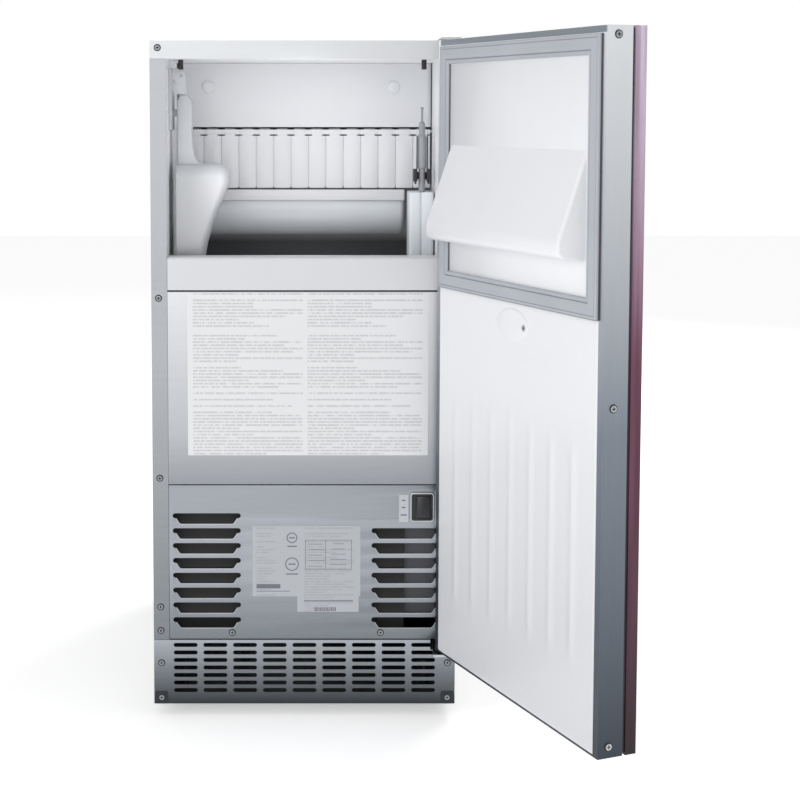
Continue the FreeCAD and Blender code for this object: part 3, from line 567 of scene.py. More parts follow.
@dataclass(frozen=True)
class Moulding(Finish):
    """Moulded plastic or vinyl."""

    colour: Colour
    shade: Colour
    roughness: float = 0.32
    texture: float = 0.25
    dust: float = 0.0
    specular: float = 0.5
    # Where the low colour is given, the colour darkens below the span's top by height: painted shade.
    painted_shade_low: Colour | None = None
    painted_shade_span: Point2 = (0.56, 0.60)

    def lay(self, recipe: Recipe, shader: bpy.types.Node) -> None:
        """Lay the moulded skin, with dust and a painted shade at the foot where asked."""
        colour: object = self.colour
        if self.painted_shade_low is not None:
            painted_gradient = self.group(recipe, Effect.PAINTED_SHADE, High_Color=self.colour, Middle_Color=self.colour,
                              Low_Color=self.painted_shade_low, Top=self.painted_shade_span[1] + 0.1,
                              Middle=self.painted_shade_span[1], Foot=self.painted_shade_span[0])
            colour = painted_gradient.outputs["Color"]
        skin = self.group(recipe, Effect.MOULD, Color=colour, Shade_Color=self.shade,
                          Base_Roughness=self.roughness, Texture=self.texture)
        if self.painted_shade_low is not None:
            recipe.feed(skin.inputs["Shade Color"], colour)
        face = skin.outputs["Color"]
        if self.dust:
            film = self.group(recipe, Effect.DUST, Color=face, Amount=self.dust)
            face = film.outputs["Color"]
        shader.inputs["Specular IOR Level"].default_value = self.specular
        self.cover(recipe, shader, skin, face)


@dataclass(frozen=True)
class Veneer(Finish):
    """Lacquered mahogany whose edges carry painted light and shade falling from head to foot."""

    # The three colours below are painted light and shade on the edges; face is the wood's own colour.
    high: Colour
    middle: Colour
    low: Colour
    face: Colour
    outward: Point3

    def lay(self, recipe: Recipe, shader: bpy.types.Node) -> None:
        """Lay the edges' painted light-to-shade gradient, the broad face's own colour, the figure and a thin
        lacquer.
        """
        painted_gradient = self.group(recipe, Effect.PAINTED_SHADE, High_Color=self.high, Middle_Color=self.middle,
                          Low_Color=self.low,
                          Top=0.84, Middle=0.5, Foot=0.08)
        lean = recipe.add("ShaderNodeVectorMath", operation="DOT_PRODUCT")
        recipe.feed(lean.inputs[0], recipe.add("ShaderNodeTexCoord").outputs["Normal"])
        lean.inputs[1].default_value = self.outward
        broad = recipe.maths("GREATER_THAN", lean.outputs["Value"], 0.8)
        colour = recipe.mix(broad, painted_gradient.outputs["Color"], self.face)
        dark = recipe.mix(1.0, colour, (0.4, 0.3, 0.32, 1.0), "MULTIPLY")
        wood = self.group(recipe, Effect.WOOD, Color=colour, Dark_Color=dark, Base_Roughness=0.3)
        shader.inputs["Specular IOR Level"].default_value = 0.3
        shader.inputs["Coat Weight"].default_value = 0.15
        shader.inputs["Coat Roughness"].default_value = 0.2
        self.cover(recipe, shader, wood)


@dataclass(frozen=True)
class BareMetal(Finish):
    """Plated, drawn or cast metal of the small parts."""

    colour: Colour
    roughness: float = 0.35
    metallic: float = 1.0
    dust: float = 0.1

    def lay(self, recipe: Recipe, shader: bpy.types.Node) -> None:
        """Lay brushed metal with a little dust."""
        brush = self.group(recipe, Effect.BRUSH, Color=self.colour, Stretch=EVEN, Contrast=0.08,
                           Base_Roughness=self.roughness)
        film = self.group(recipe, Effect.DUST, Color=brush.outputs["Color"], Amount=self.dust)
        shader.inputs["Metallic"].default_value = self.metallic
        self.cover(recipe, shader, brush, film.outputs["Color"])


@dataclass(frozen=True)
class PrintedSheet(Finish):
    """Printed film: one or two columns of grey dashes."""

    paper: Colour
    columns: tuple[Point2, ...]
    pitch: float
    strength: float = 0.6

    def lay(self, recipe: Recipe, shader: bpy.types.Node) -> None:
        """Lay the columns one after another over the paper."""
        colour: object = self.paper
        for left, right in self.columns:
            ruled = self.group(recipe, Effect.PRINT, Paper_Color=colour, Row_Pitch=self.pitch, Left=left,
                               Right=right,
                               Strength=self.strength)
            colour = ruled.outputs["Color"]
        skin = self.group(recipe, Effect.MOULD, Base_Roughness=0.3, Texture=0.1)
        self.cover(recipe, shader, skin, colour)


WHITE = Moulding("white_moulding", tint(217, 218, 221), tint(210, 212, 216), roughness=0.28)
DOOR_WHITE = Moulding("door_white_moulding", tint(236, 237, 240), tint(230, 232, 236), roughness=0.26,
                      texture=0.35)
# The lower door panel darkens towards its foot: painted shade.
PANEL_WHITE = Moulding("door_panel_moulding", tint(234, 235, 238), tint(228, 230, 234), roughness=0.2,
                       texture=0.35,
                       painted_shade_low=tint(214, 215, 219), painted_shade_span=(0.1, 0.45))
# The bin lining turns dark grey below the sill's height: painted shade in the deep bin.
BIN_WHITE = Moulding("bin_lining", tint(242, 243, 245), tint(236, 238, 241), roughness=0.34,
                     painted_shade_low=tint(108, 111, 116), painted_shade_span=(0.562, 0.578))
TROUGH_GREY = Moulding("trough_moulding", tint(222, 226, 230), tint(212, 217, 222), roughness=0.3)
# Painted shade: the scoop and its hanger wear a darkened copy of the white plastic.
SHADED_SCOOP_WHITE = Moulding("shaded_scoop_moulding", tint(198, 200, 203), tint(188, 191, 195), roughness=0.36)
GASKET = Moulding("gasket_vinyl", tint(180, 184, 190), tint(168, 172, 179), roughness=0.55, texture=0.6,
                  specular=0.3)
ROCKER_BLACK = Moulding("rocker_moulding", tint(40, 41, 44), tint(32, 33, 36), roughness=0.16, texture=0.2)
BLACK = Moulding("black_moulding", tint(28, 28, 30), tint(20, 20, 22), roughness=0.4, texture=0.8, dust=0.12)
SHADOW_BLACK = Moulding("dark_strip", tint(70, 66, 76), tint(56, 52, 60), roughness=0.6, texture=0.5)
RUBBER = Moulding("mount_rubber", tint(34, 34, 35), tint(26, 26, 27), roughness=0.7, texture=1.0, dust=0.3)
FOAM = Moulding("cut_foam", tint(214, 198, 150), tint(190, 172, 120), roughness=0.85, texture=1.0)
HOSE = Moulding("clear_hose", tint(196, 198, 199), tint(176, 179, 181), roughness=0.25)
RISER = Moulding("riser_moulding", tint(150, 154, 158), tint(120, 124, 128), roughness=0.35)
# The sheet steels carry painted light and shade: each fades from a lit colour at its head to a shaded colour
# at its foot, standing in for studio reflections.
FRONT_STEEL = SheetSteel("front_sheet", tint(166, 168, 172), tint(170, 173, 177), tint(116, 122, 128),
                         waist=0.44)
# Painted shade: the hinge-side stile wears a darker copy of the front sheet.
SHADED_HINGE_SIDE_STEEL = SheetSteel("shaded_hinge_side_sheet", tint(104, 107, 110), tint(102, 105, 108),
                              tint(80, 84, 89), waist=0.48)
RAIL_STEEL = SheetSteel("rail_sheet", tint(204, 206, 208), tint(200, 202, 203), tint(190, 192, 194),
                        roughness=0.42)
PANEL_STEEL = SheetSteel("panel_sheet", tint(214, 215, 219), tint(182, 185, 189), tint(140, 144, 150),
                         top=0.54,
                         waist=0.36, foot=0.28)
LOUVRE_STEEL = SheetSteel("louvre_sheet", tint(159, 163, 170), tint(165, 169, 177), tint(124, 131, 135),
                          top=0.29,
                          waist=0.19, foot=0.10)
KICK_STEEL = SheetSteel("kick_sheet", tint(168, 173, 179), tint(124, 129, 135), tint(52, 55, 59), top=0.097,
                        waist=0.06, foot=0.015)
# The door sheet's near-white head is a painted reflection and its dark foot painted shade.
DOOR_STEEL = SheetSteel("door_sheet", tint(249, 252, 255), tint(132, 140, 151), tint(50, 58, 66),
                        stretch=(1.0, 1.0, 0.02), waist=0.43, foot=0.06)
WRAP_STEEL = SheetSteel("wrapper_sheet", tint(176, 179, 182), tint(158, 161, 165), tint(118, 122, 126),
                        stretch=(1.0, 0.03, 1.0), roughness=0.45, metallic=0.55)
ZINC = BareMetal("zinc_sheet", tint(176, 180, 184), 0.42, 0.8)
SHADED_ZINC = BareMetal("shaded_zinc_sheet", tint(104, 107, 111), 0.5, 0.6)
PLATED = BareMetal("plated_steel", tint(190, 193, 196), 0.28)
# Dark metal for the washers; the same finish fills the screws' cross recesses as painted shade.
DARK_PLATED_AND_RECESS_SHADE = BareMetal("dark_plating_and_recess_shade", tint(52, 54, 58), 0.5, 0.6)
COPPER = BareMetal("drawn_copper", tint(200, 128, 92), 0.3)
TINNED = BareMetal("tinned_copper", tint(198, 198, 196), 0.3)
CONDENSER_BLACK = BareMetal("condenser_enamel", tint(46, 47, 50), 0.45, 0.4, 0.3)
ENAMEL = BareMetal("black_enamel", tint(22, 22, 24), 0.3, 0.1, 0.35)
INSTRUCTIONS = PrintedSheet("instruction_film", tint(228, 229, 231), ((-0.138, -0.002), (0.004, 0.146)),
                            0.0040,
                            0.42)
LABEL_FILM = PrintedSheet("label_film", tint(180, 183, 188), ((-0.060, -0.036), (0.000, 0.062)), 0.0034, 0.5)
# Painted highlight: the louvre lips wear a brighter copy of the louvre sheet.
LIT_LIP_STEEL = SheetSteel("louvre_lip_highlight_sheet", tint(206, 209, 214), tint(196, 199, 204), tint(176, 181, 186),
                       top=0.29,
                       waist=0.19, foot=0.10)
# Painted shade: a darker steel for the strip that stands for the shaded band along the door's head.
HEAD_SHADE_STEEL = SheetSteel("door_head_shade_sheet", tint(150, 158, 166), tint(150, 158, 166), tint(120, 128, 136))
DULL_PLATED = BareMetal("dull_screw_head", tint(160, 163, 167), 0.35)
TAG = Moulding("switch_tag_film", tint(196, 199, 204), tint(190, 193, 198), roughness=0.4)
INK = Moulding("label_ink", tint(112, 115, 122), tint(100, 103, 110), roughness=0.5)
FAINT_INK = Moulding("faint_ink", tint(128, 134, 139), tint(120, 126, 132), roughness=0.5)


# ------------------------------------------------------------------ meshes

def shut_to_rest() -> Matrix:
    """Return the turn that swings the shut door to where it rests."""
    hinge = next(j for j in frame["joints"] if j["name"] == "door_hinge")
    pin = Vector(hinge["pos_m"])
    turn = Matrix.Rotation(math.radians(-hinge["range_deg"][0]), 4, "Z")
    return Matrix.Translation(pin) @ turn @ Matrix.Translation(-pin)


SWING = shut_to_rest()
# The edges run from a painted highlight at the head to painted shade at the foot; the broad face keeps the
# wood's own red-brown.
MAHOGANY = Veneer("mahogany_veneer", tint(221, 207, 229), tint(132, 80, 106), tint(34, 10, 20),
                  tint(118, 66, 62),
                  tuple(SWING.to_3x3() @ Vector((0.0, -1.0, 0.0))))


WELD = 0.0005


def cuboid(low: Point3, high: Point3) -> bmesh.types.BMesh:
    """Return a box between two corners."""
    box = bmesh.new()
    bmesh.ops.create_cube(box, size=1.0)
    middle = (Vector(low) + Vector(high)) / 2
    span = Vector(high) - Vector(low)
    for vert in box.verts:
        vert.co = middle + Vector(a * b for a, b in zip(vert.co, span))
    return box


def soften(body: bmesh.types.BMesh, edges: Sequence[bmesh.types.BMEdge], radius: float,
           segments: int) -> None:
    """Round some edges of a mesh.

    Args:
        body: The mesh.
        edges: The edges to round.
        radius: Their radius.
        segments: Steps round each edge.
    """
    bmesh.ops.bevel(body, geom=edges, offset=radius, segments=segments, profile=0.5, affect="EDGES",
                    clamp_overlap=True)


def skin(body: bmesh.types.BMesh, rings: Sequence[Sequence[bmesh.types.BMVert]], around: bool = True) -> None:
    """Join rows of points with faces.

    Args:
        body: The mesh that holds the points.
        rings: The rows, each with the same number of points.
        around: Whether a row's last point joins its first.
    """
    count = len(rings[0])
    for near, far in zip(rings, rings[1:]):
        for here in range(count if around else count - 1):
            after = (here + 1) % count
            body.faces.new((near[here], near[after], far[after], far[here]))


def open_tray(profile: Sequence[Point2], left: float, right: float) -> tuple[bmesh.types.BMesh, list]:
    """Sweep a line along X and close its two ends, but not the side between the line's own ends.

    Args:
        profile: The line, in Y and Z.
        left: X of one end.
        right: X of the other.

    Returns:
        The mesh, and its two end faces.
    """
    body = bmesh.new()
    rings = [[body.verts.new((x, y, z)) for y, z in profile] for x in (left, right)]
    skin(body, rings, around=False)
    ends = [body.faces.new(rings[0]), body.faces.new(rings[1][::-1])]
    bmesh.ops.recalc_face_normals(body, faces=body.faces[:])
    return body, ends


class Shape:
    """A mesh being built, in millimetres."""

    def __init__(self) -> None:
        """Start with nothing."""
        self.bm = bmesh.new()

    def take(self, other: bmesh.types.BMesh) -> "Shape":
        """Add another mesh and free it.

        Args:
            other: The mesh to add.

        Returns:
            This shape.
        """
        data = bpy.data.meshes.new("part")
        other.to_mesh(data)
        other.free()
        self.bm.from_mesh(data)
        bpy.data.meshes.remove(data)
        return self

    def take_curve(self, curve: bpy.types.Curve, seat: Matrix) -> "Shape":
        """Add a curve's mesh and free the curve.

        Args:
            curve: The curve to add.
            seat: Where its own axes go.

        Returns:
            This shape.
        """
        holder = bpy.data.objects.new(curve.name, curve)
        data = bpy.data.meshes.new_from_object(holder)
        data.transform(seat)
        run = bmesh.new()
        run.from_mesh(data)
        bmesh.ops.remove_doubles(run, verts=run.verts[:], dist=WELD)
        bmesh.ops.recalc_face_normals(run, faces=run.faces[:])
        bpy.data.meshes.remove(data)
        bpy.data.objects.remove(holder)
        bpy.data.curves.remove(curve)
        return self.take(run)

    def slab(self, low: Point3, high: Point3, radius: float = 0.0, segments: int = 3) -> "Shape":
        """Add a box with rounded edges.

        Args:
            low: Its lowest corner.
            high: Its highest corner.
            radius: The edges' radius.
            segments: Steps round each edge.

        Returns:
            This shape.
        """
        box = cuboid(low, high)
        if radius:
            soften(box, box.edges[:], radius, segments)
        return self.take(box)

    def prism(self, outline: Sequence[Point2], axis: str, low: float, high: float, radius: float = 0.0,
              segments: int = 3, keep: Callable[[bmesh.types.BMEdge], bool] | None = None) -> "Shape":
        """Add an outline swept along an axis, with rounded edges.

        Args:
            outline: Points in the other two axes.
            axis: "x", "y" or "z".
            low: Where the sweep starts.
            high: Where it ends.
            radius: The edges' radius.
            segments: Steps round each edge.
            keep: A test for the edges to round; all of them without it.

        Returns:
            This shape.
        """
        seat = {"x": lambda a, b, t: (t, a, b), "y": lambda a, b, t: (a, t, b),
                "z": lambda a, b, t: (a, b, t)}[axis]
        body = bmesh.new()
        rings = [[body.verts.new(seat(a, b, t)) for a, b in outline] for t in (low, high)]
        count = len(outline)
        body.faces.new(rings[0])
        body.faces.new(rings[1][::-1])
        for here in range(count):
            after = (here + 1) % count
            body.faces.new((rings[0][after], rings[0][here], rings[1][here], rings[1][after]))
        bmesh.ops.recalc_face_normals(body, faces=body.faces[:])
        if radius:
            soften(body, [e for e in body.edges if keep is None or keep(e)], radius, segments)
        return self.take(body)

    def lathe(self, profile: Sequence[Point2], centre: Point3, axis: str, steps: int = 32) -> "Shape":
        """Add a turned piece.

        Args:
            profile: Radius and distance along the axis, from end to end.
            centre: Where the distance is 0.
            axis: "x", "y" or "z".
            steps: Steps round it.

        Returns:
            This shape.
        """
        seat = {"x": lambda r, c, s, t: (t, r * c, r * s), "y": lambda r, c, s, t: (r * c, t, r * s),
                "z": lambda r, c, s, t: (r * c, r * s, t)}[axis]
        turns = [math.tau * step / steps for step in range(steps)]
        return self.loft([[Vector(seat(radius, math.cos(turn), math.sin(turn), along)) + Vector(centre)
                           for turn in turns] for radius, along in profile])

    def plate(self, outline: Sequence[Point2], holes: Iterable[Sequence[Point2]], back: float, front: float,
              rim: float = 0.0) -> "Shape":
        """Add an upright sheet with holes, its rims rounded.

        Args:
            outline: Its outer line, in X and Z.
            holes: The lines of its holes.
            back: The Y of its back.
            front: The Y of its front.
            rim: The radius of its rims.

        Returns:
            This shape.
        """
        curve = bpy.data.curves.new("plate", "CURVE")
        curve.dimensions = "2D"
        curve.fill_mode = "BOTH"
        for line in (outline, *holes):
            spline = curve.splines.new("POLY")
            spline.points.add(len(line) - 1)
            for point, (x, z) in zip(spline.points, line):
                point.co = (x, z, 0.0, 1.0)
            spline.use_cyclic_u = True
        thick = abs(back - front)
        curve.extrude = thick / 2 - rim
        curve.bevel_depth = rim
        curve.bevel_resolution = 1
        curve.offset = -rim
        middle = (back + front) / 2
        return self.take_curve(curve, Matrix(((1, 0, 0, 0), (0, 0, -1, middle), (0, 1, 0, 0), (0, 0, 0, 1))))

    def bead(self, points: Sequence[Point3], radius: float, closed: bool = False) -> "Shape":
        """Add a round bead along straight runs.

        Args:
            points: The runs' ends.
            radius: The bead's radius.
            closed: Whether the last point joins the first.

        Returns:
            This shape.
        """
        curve = bpy.data.curves.new("bead", "CURVE")
        curve.dimensions = "3D"
        curve.bevel_depth = radius
        curve.bevel_resolution = 2
        curve.use_fill_caps = True
        spline = curve.splines.new("POLY")
        spline.points.add(len(points) - 1)
        for point, spot in zip(spline.points, points):
            point.co = (*spot, 1.0)
        spline.use_cyclic_u = closed
        return self.take_curve(curve, Matrix.Identity(4))

    def loft(self, rings: Sequence[Sequence[Point3]]) -> "Shape":
        """Add a closed body through rings of points.

        Args:
            rings: Rings with the same number of points, from end to end.

        Returns:
            This shape.
        """
        body = bmesh.new()
        made = [[body.verts.new(spot) for spot in ring] for ring in rings]
        skin(body, made)
        body.faces.new(made[0][::-1])
        body.faces.new(made[-1])
        bmesh.ops.recalc_face_normals(body, faces=body.faces[:])
        return self.take(body)

    def carve(self, cutter: "Shape") -> "Shape":
        """Cut another shape out of this one.

        Args:
            cutter: The shape to remove.

        Returns:
            This shape.
        """
        holders = []
        for shape in (self, cutter):
            data = bpy.data.meshes.new("carving")
            shape.bm.to_mesh(data)
            shape.bm.free()
            holder = bpy.data.objects.new("carving", data)
            bpy.context.scene.collection.objects.link(holder)
            holders.append(holder)
        cut = holders[0].modifiers.new("cut", "BOOLEAN")
        cut.object = holders[1]
        cut.solver = "EXACT"
        bpy.context.view_layer.update()
        graph = bpy.context.evaluated_depsgraph_get()
        made = bpy.data.meshes.new_from_object(holders[0].evaluated_get(graph))
        self.bm = bmesh.new()
        self.bm.from_mesh(made)
        bpy.data.meshes.remove(made)
        for holder in holders:
            data = holder.data
            bpy.data.objects.remove(holder)
            bpy.data.meshes.remove(data)
        return self

    def field(self, columns: Sequence[float], rows: Sequence[float], height: Callable[[float, float], float],
              back: float) -> "Shape":
        """Add a closed panel whose front is a relief.

        Args:
            columns: X of the grid's columns.
            rows: Z of its rows.
            height: Y of the front at an X and a Z.
            back: Y of its flat back.

        Returns:
            This shape.
        """
        body = bmesh.new()
        front = [[body.verts.new((x, height(x, z), z)) for x in columns] for z in rows]
        rear = [[body.verts.new((x, back, z)) for x in (columns[0], columns[-1])] for z in (rows[0],
                                                                                            rows[-1])]
        for low, high in zip(front, front[1:]):
            for a, b, c, d in zip(low, low[1:], high[1:], high):
                body.faces.new((a, b, c, d))
        body.faces.new((rear[0][0], rear[0][1], rear[1][1], rear[1][0]))
        body.faces.new([*front[0], rear[0][1], rear[0][0]])
        body.faces.new([*front[-1], rear[1][1], rear[1][0]])
        body.faces.new([*(r[0] for r in front), rear[1][0], rear[0][0]])
        body.faces.new([*(r[-1] for r in front), rear[1][1], rear[0][1]])
        bmesh.ops.recalc_face_normals(body, faces=body.faces[:])
        return self.take(body)

    def finish(self, name: str, finish: Finish, body: str, replaces: Sequence[str] = (),
               slot: str | None = None,
               swing: bool = False, sharp: float = 35.0) -> bpy.types.Object:
        """Turn the shape into a piece of the ice maker.

        Args:
            name: The piece's name.
            finish: Its finish.
            body: The body it rides on.
            replaces: CAD nodes it stands for.
            slot: Not used.
            swing: Whether it was drawn on the shut door.
            sharp: Angle in degrees above which an edge stays sharp.

        Returns:
            The piece's object.
        """
        data = bpy.data.meshes.new(name)
        self.bm.to_mesh(data)
        self.bm.free()
        data.transform(Matrix.Scale(MM, 4))
        if swing:
            data.transform(SWING)
        data.polygons.foreach_set("use_smooth", [True] * len(data.polygons))
        data.set_sharp_from_angle(angle=math.radians(sharp))
        data.materials.append(finish.material())
        piece = bpy.data.objects.new(name, data)
        bpy.context.scene.collection.objects.link(piece)
        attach(piece, body)
        if replaces:
            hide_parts(*replaces)
        LOG.info("%s: %d faces", name, len(data.polygons))
        return piece


def arc(x: float, z: float, radius: float, start: float, sweep: float, steps: int) -> list[Point2]:
    """Return part of a circle's line.

    Args:
        x: Its middle across.
        z: Its middle up.
        radius: Its radius.
        start: The angle of its first point, in degrees.
        sweep: The angle from its first point to its last.
        steps: Steps between them.

    Returns:
        Its points.
    """
    angles = [math.radians(start + sweep * step / steps) for step in range(steps + 1)]
    return [(x + radius * math.cos(angle), z + radius * math.sin(angle)) for angle in angles]


def stadium(x: float, z: float, length: float, height: float, steps: int = 6) -> list[Point2]:
    """Return a slot's line with round ends.

    Args:
        x: Its middle across.
        z: Its middle up.
        length: Its whole length.
        height: Its height.
        steps: Steps round each end.

    Returns:
        Its points.
    """
    radius = height / 2
    reach = length / 2 - radius
    return [*arc(x + reach, z, radius, -90, 180, steps), *arc(x - reach, z, radius, 90, 180, steps)]


def soft_rectangle(left: float, low: float, right: float, high: float, radius: float,
                   steps: int = 5) -> list[Point2]:
    """Return a rectangle's line with round corners.

    Args:
        left: Its left side.
        low: Its foot.
        right: Its right side.
        high: Its head.
        radius: Its corners' radius.
        steps: Steps round each corner.

    Returns:
        Its points.
    """
    turns = ((right - radius, low + radius, -90), (right - radius, high - radius, 0),
             (left + radius, high - radius, 90), (left + radius, low + radius, 180))
    return [spot for x, z, start in turns for spot in arc(x, z, radius, start, 90, steps)]


def cross(x: float, z: float, reach: float, half: float) -> list[Point2]:
    """Return the line of a cross recess.

    Args:
        x: Its middle across.
        z: Its middle up.
        reach: Half its length.
        half: Half the width of its arms.

    Returns:
        Its points.
    """
    corner = [(half, half), (half, reach), (-half, reach), (-half, half), (-reach, half), (-reach, -half),
              (-half, -half), (-half, -reach), (half, -reach), (half, -half), (reach, -half), (reach, half)]
    return [(x + a, z + b) for a, b in corner]


def circle(x: float, z: float, radius: float, steps: int = 28) -> list[Point2]:
    """Return a circle's line.

    Args:
        x: Its middle across.
        z: Its middle up.
        radius: Its radius.
        steps: Its points.

    Returns:
        Its points.
    """
    return [(x + radius * math.cos(math.tau * k / steps), z + radius * math.sin(math.tau * k / steps))
            for k in range(steps)]


def steps_between(low: float, high: float, count: int) -> list[float]:
    """Return evenly spaced numbers from low to high, both included."""
    return [low + (high - low) * k / count for k in range(count + 1)]


def corners(node: str) -> tuple[Vector, Vector]:
    """Return a CAD node's lowest and highest corners, in millimetres."""
    low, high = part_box(node)
    return low / MM, high / MM


# ------------------------------------------------------------ sub-assemblies

class Washer(Enum):
    """What lies under a front screw."""

    ROUND = "round"
    SQUARE = "square"


@dataclass
class CabinetFront:
    """Sheet-metal front: louvre panel, screws, rocker switch and labels."""

    thickness: float = 1.2
    louvre_half: float = 42.4
    louvre_slot: float = 6.2
    tongue_drop: float = 7.4
    louvre_pitch: float = 18.93
    first_louvre: float = 255.4
    left_louvre: float = -121.9
    right_louvre: float = 126.4
    screw_radius: float = 3.1
    square_washers_below: float = 30.0
    label_face: float = -0.28
    print_depth: float = 0.08
    faint_depth: float = 0.06

    def louvre_sites(self) -> list[Point2]:
        """Return the middle of each louvre's slot."""
        left = [(self.left_louvre, self.first_louvre - self.louvre_pitch * k) for k in range(8)]
        right = [(self.right_louvre, self.first_louvre - self.louvre_pitch * k) for k in range(1, 8)]
        return left + right

    def louvre_line(self, x: float, z: float) -> list[Point2]:
        """Return the opening of one louvre: a slot over a narrower tray.

        Args:
            x: The slot's middle across.
            z: The slot's middle up.

        Returns:
            Its points.
        """
        half = self.louvre_slot / 2
        reach = self.louvre_half - half
        foot = z - half - self.tongue_drop
        return [*arc(x + reach, z, half, -60, 150, 6), *arc(x - reach, z, half, 90, 150, 6),
                (x - reach + 1.5, z - half - 0.4), (x - reach + 5.5, foot + 1.2), (x - reach + 7.0, foot),
                (x + reach - 7.0, foot), (x + reach - 5.5, foot + 1.2), (x + reach - 1.5, z - half - 0.4)]

    def louvre_panel(self) -> None:
        """Build the louvre sheet, the lips along its openings and a black backing behind them."""
        low, high = corners("louvre_panel")
        low_b, high_b = corners("switch_bezel")
        hole = soft_rectangle(low_b.x + 3.4, low_b.z + 3.4, high_b.x - 2.8, high_b.z - 3.4, 1.0)
        openings = [self.louvre_line(x, z) for x, z in self.louvre_sites()]
        sheet = Shape().plate(soft_rectangle(low.x, low.z, high.x, high.z, 0.5, 2), [*openings, hole],
                              self.thickness, 0.0, 0.35)
        sheet.finish("louvre_panel_sheet", LOUVRE_STEEL, "cabinet", ["louvre_panel"], "brushed_steel")
        # The lips are beads along each opening's lower rim in a brighter steel: a painted highlight.
        lips = Shape()
        half = self.louvre_slot / 2
        for x, z in self.louvre_sites():
            reach = self.louvre_half - half
            foot = z - half - self.tongue_drop
            line = [(-reach + 1.0, z - half - 0.2), (-reach + 5.0, foot + 1.0), (-reach + 6.8, foot - 0.2),
                    (reach - 6.8, foot - 0.2), (reach - 5.0, foot + 1.0), (reach - 1.0, z - half - 0.2)]
            lips.bead([(x + across, 0.1, level) for across, level in line], 0.62)
        lips.finish("louvre_lips", LIT_LIP_STEEL, "cabinet", (), "brushed_steel")
        # Painted shade: a black backing behind the louvres makes the machine space seen through them dark.
        Shape().slab((-168.0, 24.0, 100.0), (126.0, 24.8, 262.0), 0.3, 1).slab(
            (-168.0, 22.5, 180.0), (126.0, 24.2, 183.0), 0.5, 1).finish(
            "louvre_shade_backing", BLACK, "cabinet", (), "black_plastic")

    def screws(self) -> None:
        """Build every screw of the front over its washer."""
        heads, washers, sockets = Shape(), Shape(), Shape()
        radius = self.screw_radius
        for x, z in self.screw_sites(frame["nodes"]["frame_screws"].data):
            kind = Washer.SQUARE if z < self.square_washers_below else Washer.ROUND
            heads.plate(circle(x, z, radius, 24), [cross(x, z, radius * 0.62, 0.55)], -0.35, -1.1, 0.25)
            # Painted shade: a dark disc behind the head fills its cross recess.
            sockets.lathe([(radius * 0.8, -0.2), (radius * 0.8, -0.55)], (x, 0.0, z), "y", 20)
            if kind is Washer.SQUARE:
                washers.plate(soft_rectangle(x - 8.2, z - 8.0, x + 8.2, z + 8.4, 3.0), [], 0.0, -0.45, 0.2)
            else:
                ring = [(radius + 1.3, 0.0), (radius + 1.3, -0.25), (radius + 0.8, -0.4)]
                washers.lathe(ring, (x, 0.0, z), "y", 28)
        heads.finish("front_screw_heads", DULL_PLATED, "cabinet", ["frame_screws"], "screw_steel")
        washers.finish("front_screw_washers", DARK_PLATED_AND_RECESS_SHADE, "cabinet", (), "black_plastic")
        sockets.finish("front_screw_recess_shade", DARK_PLATED_AND_RECESS_SHADE, "cabinet", (), "black_plastic")

    def screw_sites(self, data: bpy.types.Mesh) -> list[Point2]:
        """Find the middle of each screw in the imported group.

        Args:
            data: The group's mesh.

        Returns:
            X and Z of each, in millimetres.
        """
        loose = bmesh.new()
        loose.from_mesh(data)
        bmesh.ops.remove_doubles(loose, verts=loose.verts[:], dist=0.00001)
        seen: set[int] = set()
        sites = []
        for first in loose.verts:
            if first.index in seen:
                continue
            pile, member = [first], []
            seen.add(first.index)
            while pile:
                vert = pile.pop()
                member.append(vert.co)
                for edge in vert.link_edges:
                    other = edge.other_vert(vert)
                    if other.index not in seen:
                        seen.add(other.index)
                        pile.append(other)
            xs = [v.x for v in member]
            zs = [v.z for v in member]
            sites.append(((min(xs) + max(xs)) / 2 / MM, (min(zs) + max(zs)) / 2 / MM))
        loose.free()
        return sites

    def rocker_switch(self) -> None:
        """Build the bezel, the rocker and the small label beside it."""
        low, high = corners("switch_bezel")
        rim = Shape().plate(soft_rectangle(low.x, low.z, high.x, high.z, 3.5),
                            [soft_rectangle(low.x + 1.9, low.z + 1.8, high.x - 1.9, high.z - 1.8, 2.4)],
                            0.0, low.y, 0.7)
        rim.finish("switch_rim", PLATED, "cabinet", (), "screw_steel")
        opening = soft_rectangle(low.x + 8.2, low.z + 4.6, high.x - 4.4, high.z - 4.6, 1.0)
        well = Shape().plate(soft_rectangle(low.x + 1.4, low.z + 1.4, high.x - 1.4, high.z - 1.4, 2.4),
                             [opening],
                             -0.1, low.y + 0.5, 0.3)
        well.plate(soft_rectangle(low.x + 3.4, low.z + 3.4, high.x - 2.8, high.z - 3.4, 1.0), [opening],
                   20.0, 0.0)
        well.slab((low.x + 5.0, 19.0, low.z + 4.0), (high.x - 4.0, 21.0, high.z - 4.0), 0.3)
        well.finish("switch_well", BLACK, "cabinet", ["switch_bezel"], "black_plastic")
        low_r, high_r = corners("power_rocker")
        middle = (low_r.z + high_r.z) / 2
        face = [(high_r.y - 3.0, -5.5)]
        for step in range(13):
            along = step / 12
            level = -13.2 + 26.4 * along
            face.append((low_r.y + 3.6 * along ** 1.3, level))
        face.append((high_r.y - 3.0, 5.5))
        Shape().prism([(y, middle + level) for y, level in face], "x", low_r.x + 0.1, high_r.x - 0.1, 0.4,
                      2).finish(
            "power_rocker_cap", ROCKER_BLACK, "rocker", ["power_rocker"], "black_plastic", sharp=50)
        tag = Shape().plate(soft_rectangle(118.0, 247.5, 129.6, 282.0, 0.8), [], 0.0, -0.2)
        tag.finish("switch_label", TAG, "cabinet", (), "paper")
        marks = Shape()
        for level, half in ((275.0, 2.4), (266.0, 2.4), (256.5, 4.0)):
            marks.plate(stadium(123.8, level, 2 * half, 1.6), [], -0.15, -0.28)
        marks.finish("switch_label_marks", INK, "cabinet", (), "label_foil")

